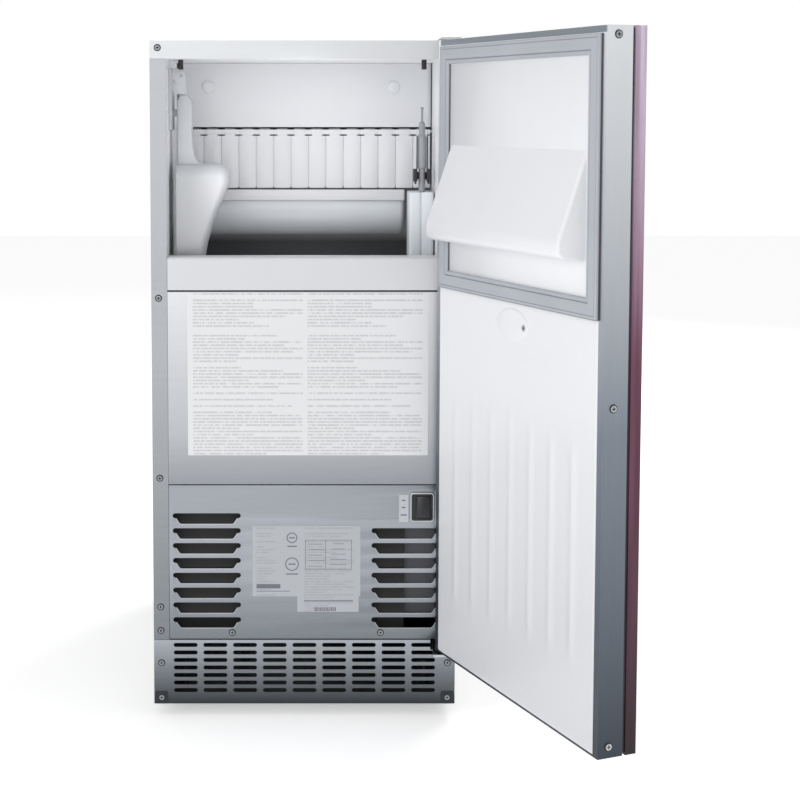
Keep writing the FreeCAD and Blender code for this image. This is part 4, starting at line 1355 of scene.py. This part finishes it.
    def label_marks(self) -> None:
        """Build the plain rings, table and bars of the rating label."""
        dark, faint = Shape(), Shape()
        face = self.label_face
        inked, paled = face - self.print_depth, face - self.faint_depth
        for x, z, radius in ((-15.5, 227.5, 6.8), (-15.5, 194.0, 8.6)):
            dark.plate(circle(x, z, radius), [circle(x, z, radius - 1.3)], face, inked)
            dark.plate(stadium(x, z, radius * 1.1, 1.6), [], face, inked)
            dark.plate(stadium(x, z - radius - 4.0, radius * 1.8, 1.5), [], face, inked)
        dark.plate(soft_rectangle(-60.0, 163.0, -30.0, 168.5, 0.6), [], face, inked)
        dark.plate(stadium(-39.0, 159.5, 42.0, 0.8), [], face, inked)
        faint.plate(soft_rectangle(1.0, 187.0, 59.0, 225.0, 0.4),
                    [soft_rectangle(1.8, 187.8, 26.0, 224.2, 0.3),
                     soft_rectangle(26.8, 187.8, 58.2, 224.2, 0.3)],
                    face, paled)
        for step in range(5):
            faint.plate(stadium(13.5 + (step % 2) * 2, 191.5 + step * 7.0, 19.0, 0.9), [], face, paled)
            faint.plate(stadium(42.5, 193.5 + step * 6.6, 22.0 - step * 2, 0.8), [], face, paled)
        bars = 0.0
        for step in range(18):
            width = 0.5 + 0.9 * ((step * 7) % 3) / 2
            dark.plate([(12.0 + bars, 134.0), (12.0 + bars + width, 134.0), (12.0 + bars + width, 139.0),
                        (12.0 + bars, 139.0)], [], face, inked)
            bars += width + 0.6
        dark.plate(stadium(30.0, 147.0, 62.0, 1.3), [], face, inked)
        dark.finish("label_dark_marks", INK, "cabinet", (), "label_foil")
        faint.finish("label_faint_marks", FAINT_INK, "cabinet", (), "label_foil")
        note = Shape()
        note.plate(soft_rectangle(-43.0, 110.5, -34.0, 118.5, 1.2),
                   [soft_rectangle(-41.8, 111.7, -35.2, 117.3, 0.8)],
                   0.0, -self.print_depth)
        for level, left, right in ((117.0, -30.0, 40.0), (110.5, -30.0, 52.0), (105.5, -30.0, 34.0)):
            note.plate(stadium((left + right) / 2, level, right - left, 1.3), [], 0.0, -self.print_depth)
        note.finish("base_note_marks", FAINT_INK, "cabinet", (), "label_foil")

    def build(self) -> None:
        """Build the whole front."""
        self.louvre_panel()
        self.screws()
        self.rocker_switch()
        self.label_marks()


@dataclass
class IceCompartment:
    """Everything white behind the open door."""

    sill_roll: float = 3.5
    slat_count: int = 14
    slat_gap: float = 1.0
    slat_notch: float = 4.2
    trough_bow: float = 62.0
    trough_wall: float = 2.4
    ledge_height: float = 15.0
    bowl_left: float = -160.0
    bowl_heart: Point2 = (-135.0, 645.0)
    bowl_shoulder: float = 20.0
    bowl_face: tuple[Point2, ...] = (
        (-160.0, 592.7), (-136.0, 592.7), (-133.0, 593.5), (-130.0, 600.0), (-124.0, 618.0), (-117.0, 637.0),
        (-110.5, 655.5), (-106.5, 667.0), (-104.8, 671.5), (-104.2, 674.0), (-104.8, 675.2), (-108.0, 675.6),
        (-120.0, 675.6), (-160.0, 675.6))
    bowl_skin: tuple[Point2, ...] = (
        (-160.0, 564.0), (-134.0, 561.0), (-128.5, 566.0), (-124.5, 590.0), (-117.0, 615.0), (-110.5, 633.0),
        (-102.0, 652.0), (-97.5, 663.0), (-95.5, 671.0), (-96.5, 680.0), (-101.0, 688.0), (-108.0, 692.0),
        (-120.0, 692.5), (-160.0, 692.5))

    def sill(self) -> None:
        """Build the sill with a rolled upper edge."""
        low, high = corners("bin_sill")
        roll = self.sill_roll
        outline = [(low.y, low.z), *arc(low.y + roll, high.z - roll, roll, 180, -90, 6),
                   (high.y, high.z), (high.y, high.z - 2.4), (low.y + 2.5, high.z - 2.4),
                   (low.y + 2.5, low.z)]
        Shape().prism(outline, "x", low.x, high.x).finish(
            "bin_sill_moulding", WHITE, "cabinet", ["bin_sill"], "white_plastic")
        Shape().slab((low.x, 0.5, low.z - 2.6), (high.x, 1.4, low.z + 0.3), 0.2, 1).finish(
            "sill_seal_strip", BLACK, "cabinet", (), "black_plastic")

    def cover(self) -> None:
        """Build the evaporator cover and its two round plugs."""
        low, high = corners("evaporator_cover")
        box = cuboid(low, high)
        gone = [f for f in box.faces if abs(f.normal.z) > 0.9]
        bmesh.ops.delete(box, geom=gone, context="FACES_ONLY")
        edges = [e for e in box.edges if len(e.link_faces) == 2]
        bmesh.ops.bevel(box, geom=edges, offset=7.0, segments=6, profile=0.5, affect="EDGES")
        bmesh.ops.recalc_face_normals(box, faces=box.faces[:])
        bmesh.ops.solidify(box, geom=box.faces[:], thickness=2.5)
        Shape().take(box).finish("evaporator_cover_hood", WHITE, "cabinet", ["evaporator_cover"],
                                 "white_plastic")
        low_b, high_b = corners("cover_buttons")
        plugs = Shape()
        for x in (low_b.x + 8.5, high_b.x - 8.5):
            z = (low_b.z + high_b.z) / 2
            plugs.lathe([(3.5, 8.0), (3.5, 0.2), (8.5, 0.2), (8.5, -0.7), (8.0, -1.3), (7.0, -1.6),
                         (3.0, -1.8),
                         (0.2, -1.8)], (x, low.y, z), "y", 40)
        plugs.finish("cover_plugs", WHITE, "cabinet", ["cover_buttons"], "white_plastic")

    def slats(self) -> None:
        """Build the curtain: slats with notched heads and slit feet."""
        low, high = corners("curtain_slats")
        count, notch = self.slat_count, self.slat_notch
        pitch = (high.x - low.x + 1.2) / count
        head, foot = high.z - 2.0, low.z
        front = low.y
        shape = Shape()
        for number in range(count):
            left = low.x + number * pitch
            right = left + pitch - self.slat_gap
            outline = [(left, foot + 1.0), (left + 1.0, foot), (right - 1.0, foot), (right, foot + 1.0),
                       (right, head - 8.2), (right - notch, head - 8.2), (right - notch, head - 6.6),
                       (right, head - 6.6), (right, head), (left, head), (left, head - 6.6),
                       (left + notch, head - 6.6), (left + notch, head - 8.2), (left, head - 8.2)]
            shape.plate(outline, [], front + 2.0, front, 0.3)
            shape.lathe([(4.6, 4.0), (4.6, pitch - 5.2)], (left, front + 6.0, head - 3.0), "x", 20)
            lap = right + self.slat_gap
            if number < count - 1:
                shape.slab((right - 0.1, front + 1.5, foot + 2.0), (lap + 0.1, front + 2.0, head - 8.4))
                shape.slab((right - 0.1, front + 0.12, head - 6.4), (lap + 0.1, front + 1.6, head - 0.4))
        shape.finish("curtain_boards", WHITE, "curtain", ["curtain_slats"], "white_plastic")

    def trough(self) -> None:
        """Build the rounded water trough with its ledge."""
        low, high = corners("water_trough")
        front = low.y
        ledge = high.z - self.ledge_height
        start, top = front + 8, ledge - 8
        outline = [(start, ledge - 0.5)]
        for angle in steps_between(0.0, math.radians(90), 14):
            outline.append((start + self.trough_bow * (1 - math.cos(angle)),
                            top - (top - low.z) * math.sin(angle)))
        outline += [(high.y, low.z), (high.y, ledge)]
        body, ends = open_tray(outline, low.x, high.x)
        soften(body, [e for f in ends for e in f.edges if len(e.link_faces) == 2], 6.0, 5)
        bmesh.ops.solidify(body, geom=body.faces[:], thickness=self.trough_wall)
        Shape().take(body).finish("water_trough_tank", TROUGH_GREY, "cabinet", ["water_trough"],
                                  "white_plastic",
                                  sharp=50)
        Shape().slab((low.x, front, ledge), (high.x, front + 12.0, high.z), 1.6).finish(
            "water_trough_ledge", WHITE, "cabinet", (), "white_plastic")

    def pump_side(self) -> None:
        """Build the pump cover, the riser and the clips beside it."""
        low, high = corners("pump_cover")
        middle = (low.x + high.x) / 2
        outline = [(low.x, low.y + 3), (low.x + 3, low.y), (middle - 2.2, low.y), (middle - 1.0, low.y + 2.4),
                   (middle + 1.0, low.y + 2.4), (middle + 2.2, low.y), (high.x - 3, low.y),
                   (high.x, low.y + 3),
                   (high.x, high.y), (low.x, high.y)]
        Shape().prism(outline, "z", low.z, high.z, 0.9, 3).finish(
            "pump_cover_shell", TROUGH_GREY, "cabinet", ["pump_cover"], "white_plastic")
        low_r, high_r = corners("riser_tube")
        x, y = (low_r.x + high_r.x) / 2, (low_r.y + high_r.y) / 2
        profile = [(4.2, high.z + 0.2), (4.2, 684.0), (5.6, 685.0), (6.3, 687.0), (6.3, 724.0), (5.2, 727.5),
                   (4.0, 729.0), (4.0, 743.0), (2.6, 744.8), (1.4, 746.0), (1.4, 761.0), (2.0, 762.0),
                   (2.0, 763.4), (1.0, high_r.z)]
        Shape().lathe(profile, (x, y, 0.0), "z", 28).finish(
            "riser_stem", RISER, "cabinet", ["riser_tube"], "grey_plastic")
        clips = Shape()
        for side in (-1, 1):
            clips.slab((x + side * 8.6 - 2.4, y - 8, 667.5), (x + side * 8.6 + 2.4, y + 8, 684.0), 0.8)
            clips.slab((x + side * 6.8 - 0.7, y - 6.6, 684.0), (x + side * 6.8 + 0.7, y - 5.2, 727.0), 0.3)
            clips.lathe([(1.4, -0.8), (1.4, 8.0)], (x + side * 8.6, y - 8, 666.0), "y", 16)
        clips.slab((x - 9.0, y + 6.6, 670.0), (x + 9.0, y + 9.0, 680.0), 0.6)
        low_c, _ = corners("pipe_clips")
        for left in (low_c.x, 146.0):
            clips.slab((left, 36.0, 810.5), (left + 6.0, 44.0, 822.3), 0.8)
            clips.slab((left + 1.2, 34.2, 813.0), (left + 4.8, 37.0, 816.0), 0.5)
        clips.finish("black_clips", BLACK, "cabinet", ["pipe_clips"], "black_plastic")

    def bowl_rings(self, left: float, near: float, far: float, wall: float) -> list[list[Point3]]:
        """Return the rings of the scoop's bowl, or of the hollow inside it.

        Args:
            left: X of its open side.
            near: Y of its near face.
            far: Y of its far face.
            wall: How far the rings lie inside the outer skin.

        Returns:
            The rings, from the near face to the far one.
        """
        rings = []
        for step in range(9):
            angle = math.radians(90 * step / 8)
            rings.append((math.sin(angle), near + self.bowl_shoulder * (1 - math.cos(angle))))
        for step in range(5):
            angle = math.radians(90 * step / 4)
            rings.append((1.0 - 0.16 * (1 - math.cos(angle)), far - 7.0 + 7.0 * math.sin(angle)))
        made = []
        for swell, y in rings:
            ring = []
            for (near_x, near_z), (far_x, far_z) in zip(self.bowl_face, self.bowl_skin):
                x = near_x + (far_x - near_x) * swell
                z = near_z + (far_z - near_z) * swell
                pull = Vector((self.bowl_heart[0] - x, self.bowl_heart[1] - z)).normalized() * wall
                ring.append((left if near_x == self.bowl_left else x + pull.x, y, z + pull.y))
            made.append(ring)
        return made

    def scoop(self) -> None:
        """Build the hanging scoop: a deep bowl, open at its left, under a flared grip."""
        low, high = corners("ice_scoop")
        near, far, left = low.y, high.y, low.x
        bowl = Shape().loft(self.bowl_rings(left, near, far, 0.0))
        bowl.carve(Shape().loft(self.bowl_rings(left - 3.0, near + 2.4, far - 2.4, 2.6)))
        grip = [(left, 689.0), (-131.0, 689.0), (-130.5, 692.4), (-135.5, 695.5), (-139.0, 702.0),
                (-141.3, 712.0),
                (-142.0, 728.0), (-142.0, 768.0), (-144.0, 775.0), (-149.0, high.z), (-156.0, high.z - 0.5),
                (left, 771.0)]
        bowl.prism(grip, "y", near + 20, far - 20, 3.0, 4)
        bowl.finish("ice_scoop_body", SHADED_SCOOP_WHITE, "scoop", ["ice_scoop"], "white_plastic", sharp=50)

    def hanger(self) -> None:
        """Build the hanger of the scoop, with its two screw holes."""
        low, high = corners("scoop_hanger")
        plate = [(low.x, high.z), (low.x, 788.0), (low.x + 6.0, 781.5), (low.x + 10.0, 780.0),
                 (high.x, 781.0),
                 (high.x, 800.0), (high.x - 4.0, high.z)]
        shape = Shape().plate(plate, [circle(low.x + 5.0, 796.0, 1.3, 14), circle(low.x + 15.0, 803.0, 1.3,
                                                                                  14)],
                              49.0, 46.0, 0.6)
        shape.slab((low.x, 40.0, 735.0), (low.x + 3.4, 94.0, high.z), 1.0)
        shape.slab((low.x + 3.0, 62.6, 752.0), (-148.2, 71.4, 761.0), 1.0)
        shape.finish("scoop_hanger_plate", SHADED_SCOOP_WHITE, "cabinet", ["scoop_hanger"], "white_plastic")

    def build(self) -> None:
        """Build the whole compartment."""
        self.sill()
        self.cover()
        self.slats()
        self.trough()
        self.pump_side()
        self.scoop()
        self.hanger()


@dataclass
class Door:
    """The insulated door, drawn shut with its inner face towards +Y."""

    inner: float = -5.0
    rib_count: int = 7
    rib_height: float = 1.05
    rib_sigma: float = 4.2
    rib_pitch: float = 44.0
    first_rib: float = 132.0
    left: float = -176.0
    right: float = 177.0
    foot: float = 93.0
    seam: float = 545.0
    liner_left: float = -170.8
    liner_right: float = 171.8
    liner_top: float = 830.0
    deflector_left: float = -149.0
    deflector_right: float = 154.0
    cap_middle: Point2 = (-3.0, 521.0)
    cap_reach: Point2 = (34.0, 18.0)
    edge_screw_seat: Point2 = (-185.0, -18.0)
    edge_screw_levels: Point3 = (835.0, 456.0, 102.0)
    gasket_low: float = 546.0
    gasket_high: float = 836.0
    gasket_profile: tuple[Point2, ...] = field(default=(
        (0.0, 0.0), (0.0, 2.6), (0.5, 3.5), (1.6, 4.0), (3.0, 4.1), (3.6, 3.2), (4.2, 4.2), (9.0, 4.45),
        (13.0, 4.3), (15.4, 4.0), (16.2, 2.2), (17.0, 3.6), (18.6, 3.8), (20.0, 3.2), (20.8, 2.2),
        (21.0, 1.0), (21.0, 0.0)))

    def lower_relief(self, x: float, z: float) -> float:
        """Return the front's Y on the lower panel, with its soft ribs."""
        edge = min(x - self.left, self.right - x, z - self.foot, self.seam - z)
        height = 1.5 * min(1.0, 0.35 + edge / 3.0)
        for number in range(self.rib_count):
            centre = self.first_rib - self.rib_pitch * number
            across = math.exp(-((x - centre) / self.rib_sigma) ** 2 / 2)
            top = 420.0 - 6.0 * abs(number - 3)
            fade = 1 / (1 + math.exp(-(top - z) / 6.0)) / (1 + math.exp(-(z - 170.0 - 3.0 * number) / 6.0))
            height += self.rib_height * across * fade
        return self.inner + height

    def lower_panel(self) -> None:
        """Build the ribbed lower panel."""
        columns = sorted({self.left + 0.6, self.left + 2.0, self.right - 0.6, self.right - 2.0,
                          *steps_between(self.left, self.right, 176)})
        rows = sorted({self.foot + 0.6, self.foot + 2.0, self.seam - 0.6, self.seam - 2.0,
                       *steps_between(self.foot, self.seam, 90)})
        Shape().field(columns, rows, self.lower_relief, self.inner - 0.4).finish(
            "lower_panel_moulding", PANEL_WHITE, "door", ["door_lower_panel"], "white_plastic", swing=True)

    def liner(self) -> None:
        """Build the upper moulding with its ice deflector."""
        shape = Shape().slab((self.liner_left, self.inner - 2.5, self.gasket_low),
                             (self.liner_right, self.inner, self.liner_top), 0.4, 1)
        profile = [(self.inner - 1.0, 721.0), (self.inner + 33.5, 624.0), (self.inner + 33.5, 611.0),
                   (self.inner + 27.0, 606.0), (self.inner - 1.0, 602.0)]
        wedge, _ = open_tray(profile, self.deflector_left, self.deflector_right)
        soften(wedge, [e for e in wedge.edges
                       if len(e.link_faces) == 2 and max(v.co.y for v in e.verts) > self.inner], 6.0, 6)
        bmesh.ops.holes_fill(wedge, edges=[e for e in wedge.edges if len(e.link_faces) == 1])
        shape.take(wedge)
        shape.finish("door_liner_moulding", DOOR_WHITE, "door", ["door_liner"], "white_plastic", swing=True,
                     sharp=60)

    def gasket(self) -> None:
        """Build the gasket: one profile round a rectangle, mitred at its corners."""
        body = bmesh.new()
        rings = []
        for inset, height in self.gasket_profile:
            left, right = self.left + inset, self.right - inset
            low, high = self.gasket_low + inset, self.gasket_high - inset
            ring = [body.verts.new((x, self.inner + height, z))
                    for x, z in ((left, low), (right, low), (right, high), (left, high))]
            rings.append(ring)
        rings.append(rings[0])
        skin(body, rings)
        bmesh.ops.recalc_face_normals(body, faces=body.faces[:])
        Shape().take(body).finish("door_gasket_seal", GASKET, "door", ["door_gasket"], "gasket_rubber",
                                  swing=True)
        lips = Shape()
        inner_edge = self.right - 21.0
        lips.slab((inner_edge - 1.6, self.inner, self.gasket_low + 21.5),
                  (inner_edge - 0.1, self.inner + 0.9, self.gasket_high - 21.5), 0.2, 1)
        lips.slab((self.left - 1.8, self.inner, self.gasket_low),
                  (self.left - 0.1, self.inner + 1.4, self.gasket_high), 0.2, 1)
        lips.finish("gasket_shadow_lips", SHADOW_BLACK, "door", (), "black_plastic", swing=True)

    def cap(self) -> None:
        """Build the oval cap over the catch, and its screw."""
        (centre, level), (wide, tall) = self.cap_middle, self.cap_reach
        base = self.inner + 1.3
        turns = [math.tau * k / 48 for k in range(48)]
        rings = [[(centre + (wide - inset) * math.cos(turn), base + height,
                   level + (tall - inset) * math.sin(turn))
                  for turn in turns]
                 for inset, height in ((0.0, 0.0), (0.0, 0.6), (0.5, 1.1), (1.6, 1.4), (14.0, 1.7))]
        Shape().loft(rings).finish("door_cap_cover", DOOR_WHITE, "door", ["door_cap"], "white_plastic",
                                   swing=True)
        x = centre - 26.5
        top = base + 1.5
        head = Shape().plate(circle(x, level - 1.0, 3.6, 24), [cross(x, level - 1.0, 2.3, 0.5)], top,
                             top + 0.7, 0.2)
        head.finish("door_cap_screw", PLATED, "door", (), "screw_steel", swing=True)
        # Painted shade: a dark disc behind the screw's cross recess.
        Shape().lathe([(3.0, top - 0.1), (3.0, top + 0.3)], (x, 0.0, level - 1.0), "y", 20).finish(
            "door_cap_screw_recess_shade", DARK_PLATED_AND_RECESS_SHADE, "door", (), "black_plastic", swing=True)

    def edge_screws(self) -> None:
        """Build the screws on the door's free edge."""
        heads, sockets = Shape(), Shape()
        edge, middle = self.edge_screw_seat
        for level in self.edge_screw_levels:
            sockets.lathe([(4.6, -0.2), (4.6, -0.4), (3.0, -0.6)], (edge, middle, level), "x", 24)
            one = Shape().plate(circle(middle, level, 3.6, 24), [cross(middle, level, 2.3, 0.5)], 0.4, 1.2,
                                0.25)
            turn = Matrix(((0, -1, 0, edge), (1, 0, 0, 0), (0, 0, 1, 0), (0, 0, 0, 1)))
            bmesh.ops.transform(one.bm, matrix=turn, verts=one.bm.verts[:])
            heads.take(one.bm)
        heads.finish("door_edge_screws", PLATED, "door", ["door_screws"], "screw_steel", swing=True)
        sockets.finish("door_edge_washers", DARK_PLATED_AND_RECESS_SHADE, "door", (), "black_plastic", swing=True)

    def build(self) -> None:
        """Build the door's looks."""
        self.lower_panel()
        self.liner()
        self.gasket()
        self.cap()
        self.edge_screws()
        # A thin darker strip over the door frame's head paints its shaded band.
        Shape().slab((-184.0, self.inner - 0.1, 837.2), (180.0, self.inner + 0.5, 843.8), 0.25, 1).finish(
            "door_head_shade_strip", HEAD_SHADE_STEEL, "door", (), "door_steel", swing=True)


@dataclass
class CarriedParts:
    """Finishes and softened edges of the CAD pieces that stay as they are."""

    finishes: dict[str, Finish] = field(default_factory=lambda: {
        "outer_wrapper": WRAP_STEEL, "rear_panel": ZINC, "base_pan": SHADED_ZINC,
        "front_top_rail": RAIL_STEEL,
        "front_left_stile": FRONT_STEEL, "front_right_stile": SHADED_HINGE_SIDE_STEEL, "service_panel": PANEL_STEEL,
        "instruction_sheet": INSTRUCTIONS, "rating_label": LABEL_FILM, "kickplate": KICK_STEEL,
        "bin_liner": BIN_WHITE, "insulation_foam": FOAM, "evaporator_plate": TINNED,
        "evaporator_tubing": COPPER, "spray_bar": WHITE, "curtain_rod": PLATED, "water_pump": BLACK,
        "pump_impeller": BLACK, "compressor": ENAMEL, "compressor_mounts": RUBBER,
        "condenser": CONDENSER_BLACK,
        "fan_shroud": SHADED_ZINC, "fan_motor": ENAMEL, "fan_blade": BLACK, "filter_drier": COPPER,
        "refrigerant_lines": COPPER, "water_inlet_valve": WHITE, "drain_pipe": HOSE, "power_inlet": BLACK,
        "control_box": SHADED_ZINC, "top_hinge_bracket": PLATED, "bottom_hinge_bracket": PLATED,
        "door_frame": DOOR_STEEL, "door_foam": FOAM, "hinge_bushes": BLACK, "panel_spacer": SHADOW_BLACK,
        "wood_panel": MAHOGANY, "levelling_foot_front_left": BLACK, "levelling_foot_front_right": BLACK,
        "levelling_foot_rear_left": BLACK, "levelling_foot_rear_right": BLACK,
    })
    soft: dict[str, float] = field(default_factory=lambda: {
        "wood_panel": 0.8, "door_frame": 0.5, "front_top_rail": 0.35, "front_left_stile": 0.35,
        "front_right_stile": 0.35, "service_panel": 0.35, "outer_wrapper": 0.5, "top_hinge_bracket": 0.4,
        "kickplate": 0.25, "compressor": 2.0, "control_box": 1.0, "rear_panel": 0.3,
    })

    def build(self) -> None:
        """Dress each CAD piece that still shows."""
        for name, finish in self.finishes.items():
            piece = frame["nodes"][name]
            piece.data.materials.clear()
            piece.data.materials.append(finish.material())
            if name in self.soft:
                bevel = piece.modifiers.new("softened", "BEVEL")
                bevel.width = self.soft[name] * MM
                bevel.segments = 2
                bevel.limit_method = "ANGLE"
                bevel.angle_limit = math.radians(40)
                bevel.harden_normals = True
            LOG.info("%s dressed as %s", name, finish.name)


@dataclass(frozen=True)
class Softbox:
    """A round soft light of the studio."""

    name: str
    place: Point3
    aim: Point3
    size: float
    power: float


@dataclass
class Studio:
    """Pale floor, soft light and the camera."""

    ambient: float = 0.55
    lamps: tuple[Softbox, ...] = (
        Softbox("softbox_left", (-2.3, -1.5, 1.3), (0.1, -0.1, 0.5), 1.6, 16.0),
        Softbox("softbox_front", (-0.35, -2.3, 1.0), (0.0, 0.2, 0.62), 1.2, 7.0),
        Softbox("bin_fill", (0.0, 0.0, 0.7), (0.0, 0.25, 0.73), 0.24, 0.125),
        Softbox("low_fill", (0.0, 0.08, 0.45), (0.0, 0.24, 0.6), 0.14, 0.1),
        Softbox("softbox_back", (1.6, 2.6, 1.9), (0.0, 0.3, 0.4), 1.6, 36.0),
    )
    eye: Point3 = (0.007, -1.966, 0.755)
    lens: float = 72.09
    shift: Point2 = (0.1125, -0.2)
    pitch: float = 4.49

    def floor(self) -> None:
        """Lay a pale floor."""
        body = bmesh.new()
        bmesh.ops.create_grid(body, x_segments=1, y_segments=1, size=8.0)
        data = bpy.data.meshes.new("studio_floor")
        body.to_mesh(data)
        body.free()
        paper = Moulding("floor_paper", tint(250, 250, 250), tint(247, 247, 247), 0.9, 0.1).material()
        glow = next(n for n in paper.node_tree.nodes if n.type == "BSDF_PRINCIPLED")
        glow.inputs["Emission Color"].default_value = (1.0, 1.0, 1.0, 1.0)
        glow.inputs["Emission Strength"].default_value = 0.43
        data.materials.append(paper)
        floor = bpy.data.objects.new("studio_floor", data)
        floor.location.z = -0.0005
        bpy.context.scene.collection.objects.link(floor)

    def lights(self) -> None:
        """Hang the soft lights round the object."""
        world = bpy.data.worlds.new("studio_white")
        world.use_nodes = True
        recipe = Recipe(world.node_tree)
        sky = next(n for n in world.node_tree.nodes if n.type == "BACKGROUND")
        sky.inputs["Color"].default_value = (1.0, 1.0, 1.0, 1.0)
        seen = recipe.add("ShaderNodeLightPath").outputs["Is Camera Ray"]
        recipe.feed(sky.inputs["Strength"], recipe.maths("MULTIPLY_ADD", seen, 1.0 - self.ambient,
                                                         self.ambient))
        bpy.context.scene.world = world
        for lamp in self.lamps:
            light = bpy.data.lights.new(lamp.name, "AREA")
            light.shape = "DISK"
            light.size = lamp.size
            light.energy = lamp.power
            holder = bpy.data.objects.new(lamp.name, light)
            holder.location = lamp.place
            holder.rotation_euler = (Vector(lamp.aim) - Vector(lamp.place)).to_track_quat("-Z",
                                                                                          "Y").to_euler()
            holder.visible_camera = False
            bpy.context.scene.collection.objects.link(holder)

    def camera(self) -> None:
        """Place the camera."""
        data = bpy.data.cameras.new("camera")
        data.lens = self.lens
        data.sensor_width = 36.0
        data.shift_x, data.shift_y = self.shift
        camera = bpy.data.objects.new("camera", data)
        camera.location = self.eye
        camera.rotation_euler = (math.radians(90 - self.pitch), 0.0, 0.0)
        bpy.context.scene.collection.objects.link(camera)
        bpy.context.scene.camera = camera
        bpy.context.scene.view_settings.view_transform = "Standard"

    def build(self) -> None:
        """Set up the studio."""
        self.camera()
        self.floor()
        self.lights()


def main() -> None:
    """Build the ice maker's looks, part by part."""
    logging.basicConfig(level=logging.INFO, format="%(name)s %(message)s")
    for part in (Studio(), CarriedParts(), CabinetFront(), IceCompartment(), Door()):
        LOG.info("building %s", type(part).__name__)
        part.build()


if __name__ == "__main__":
    main()
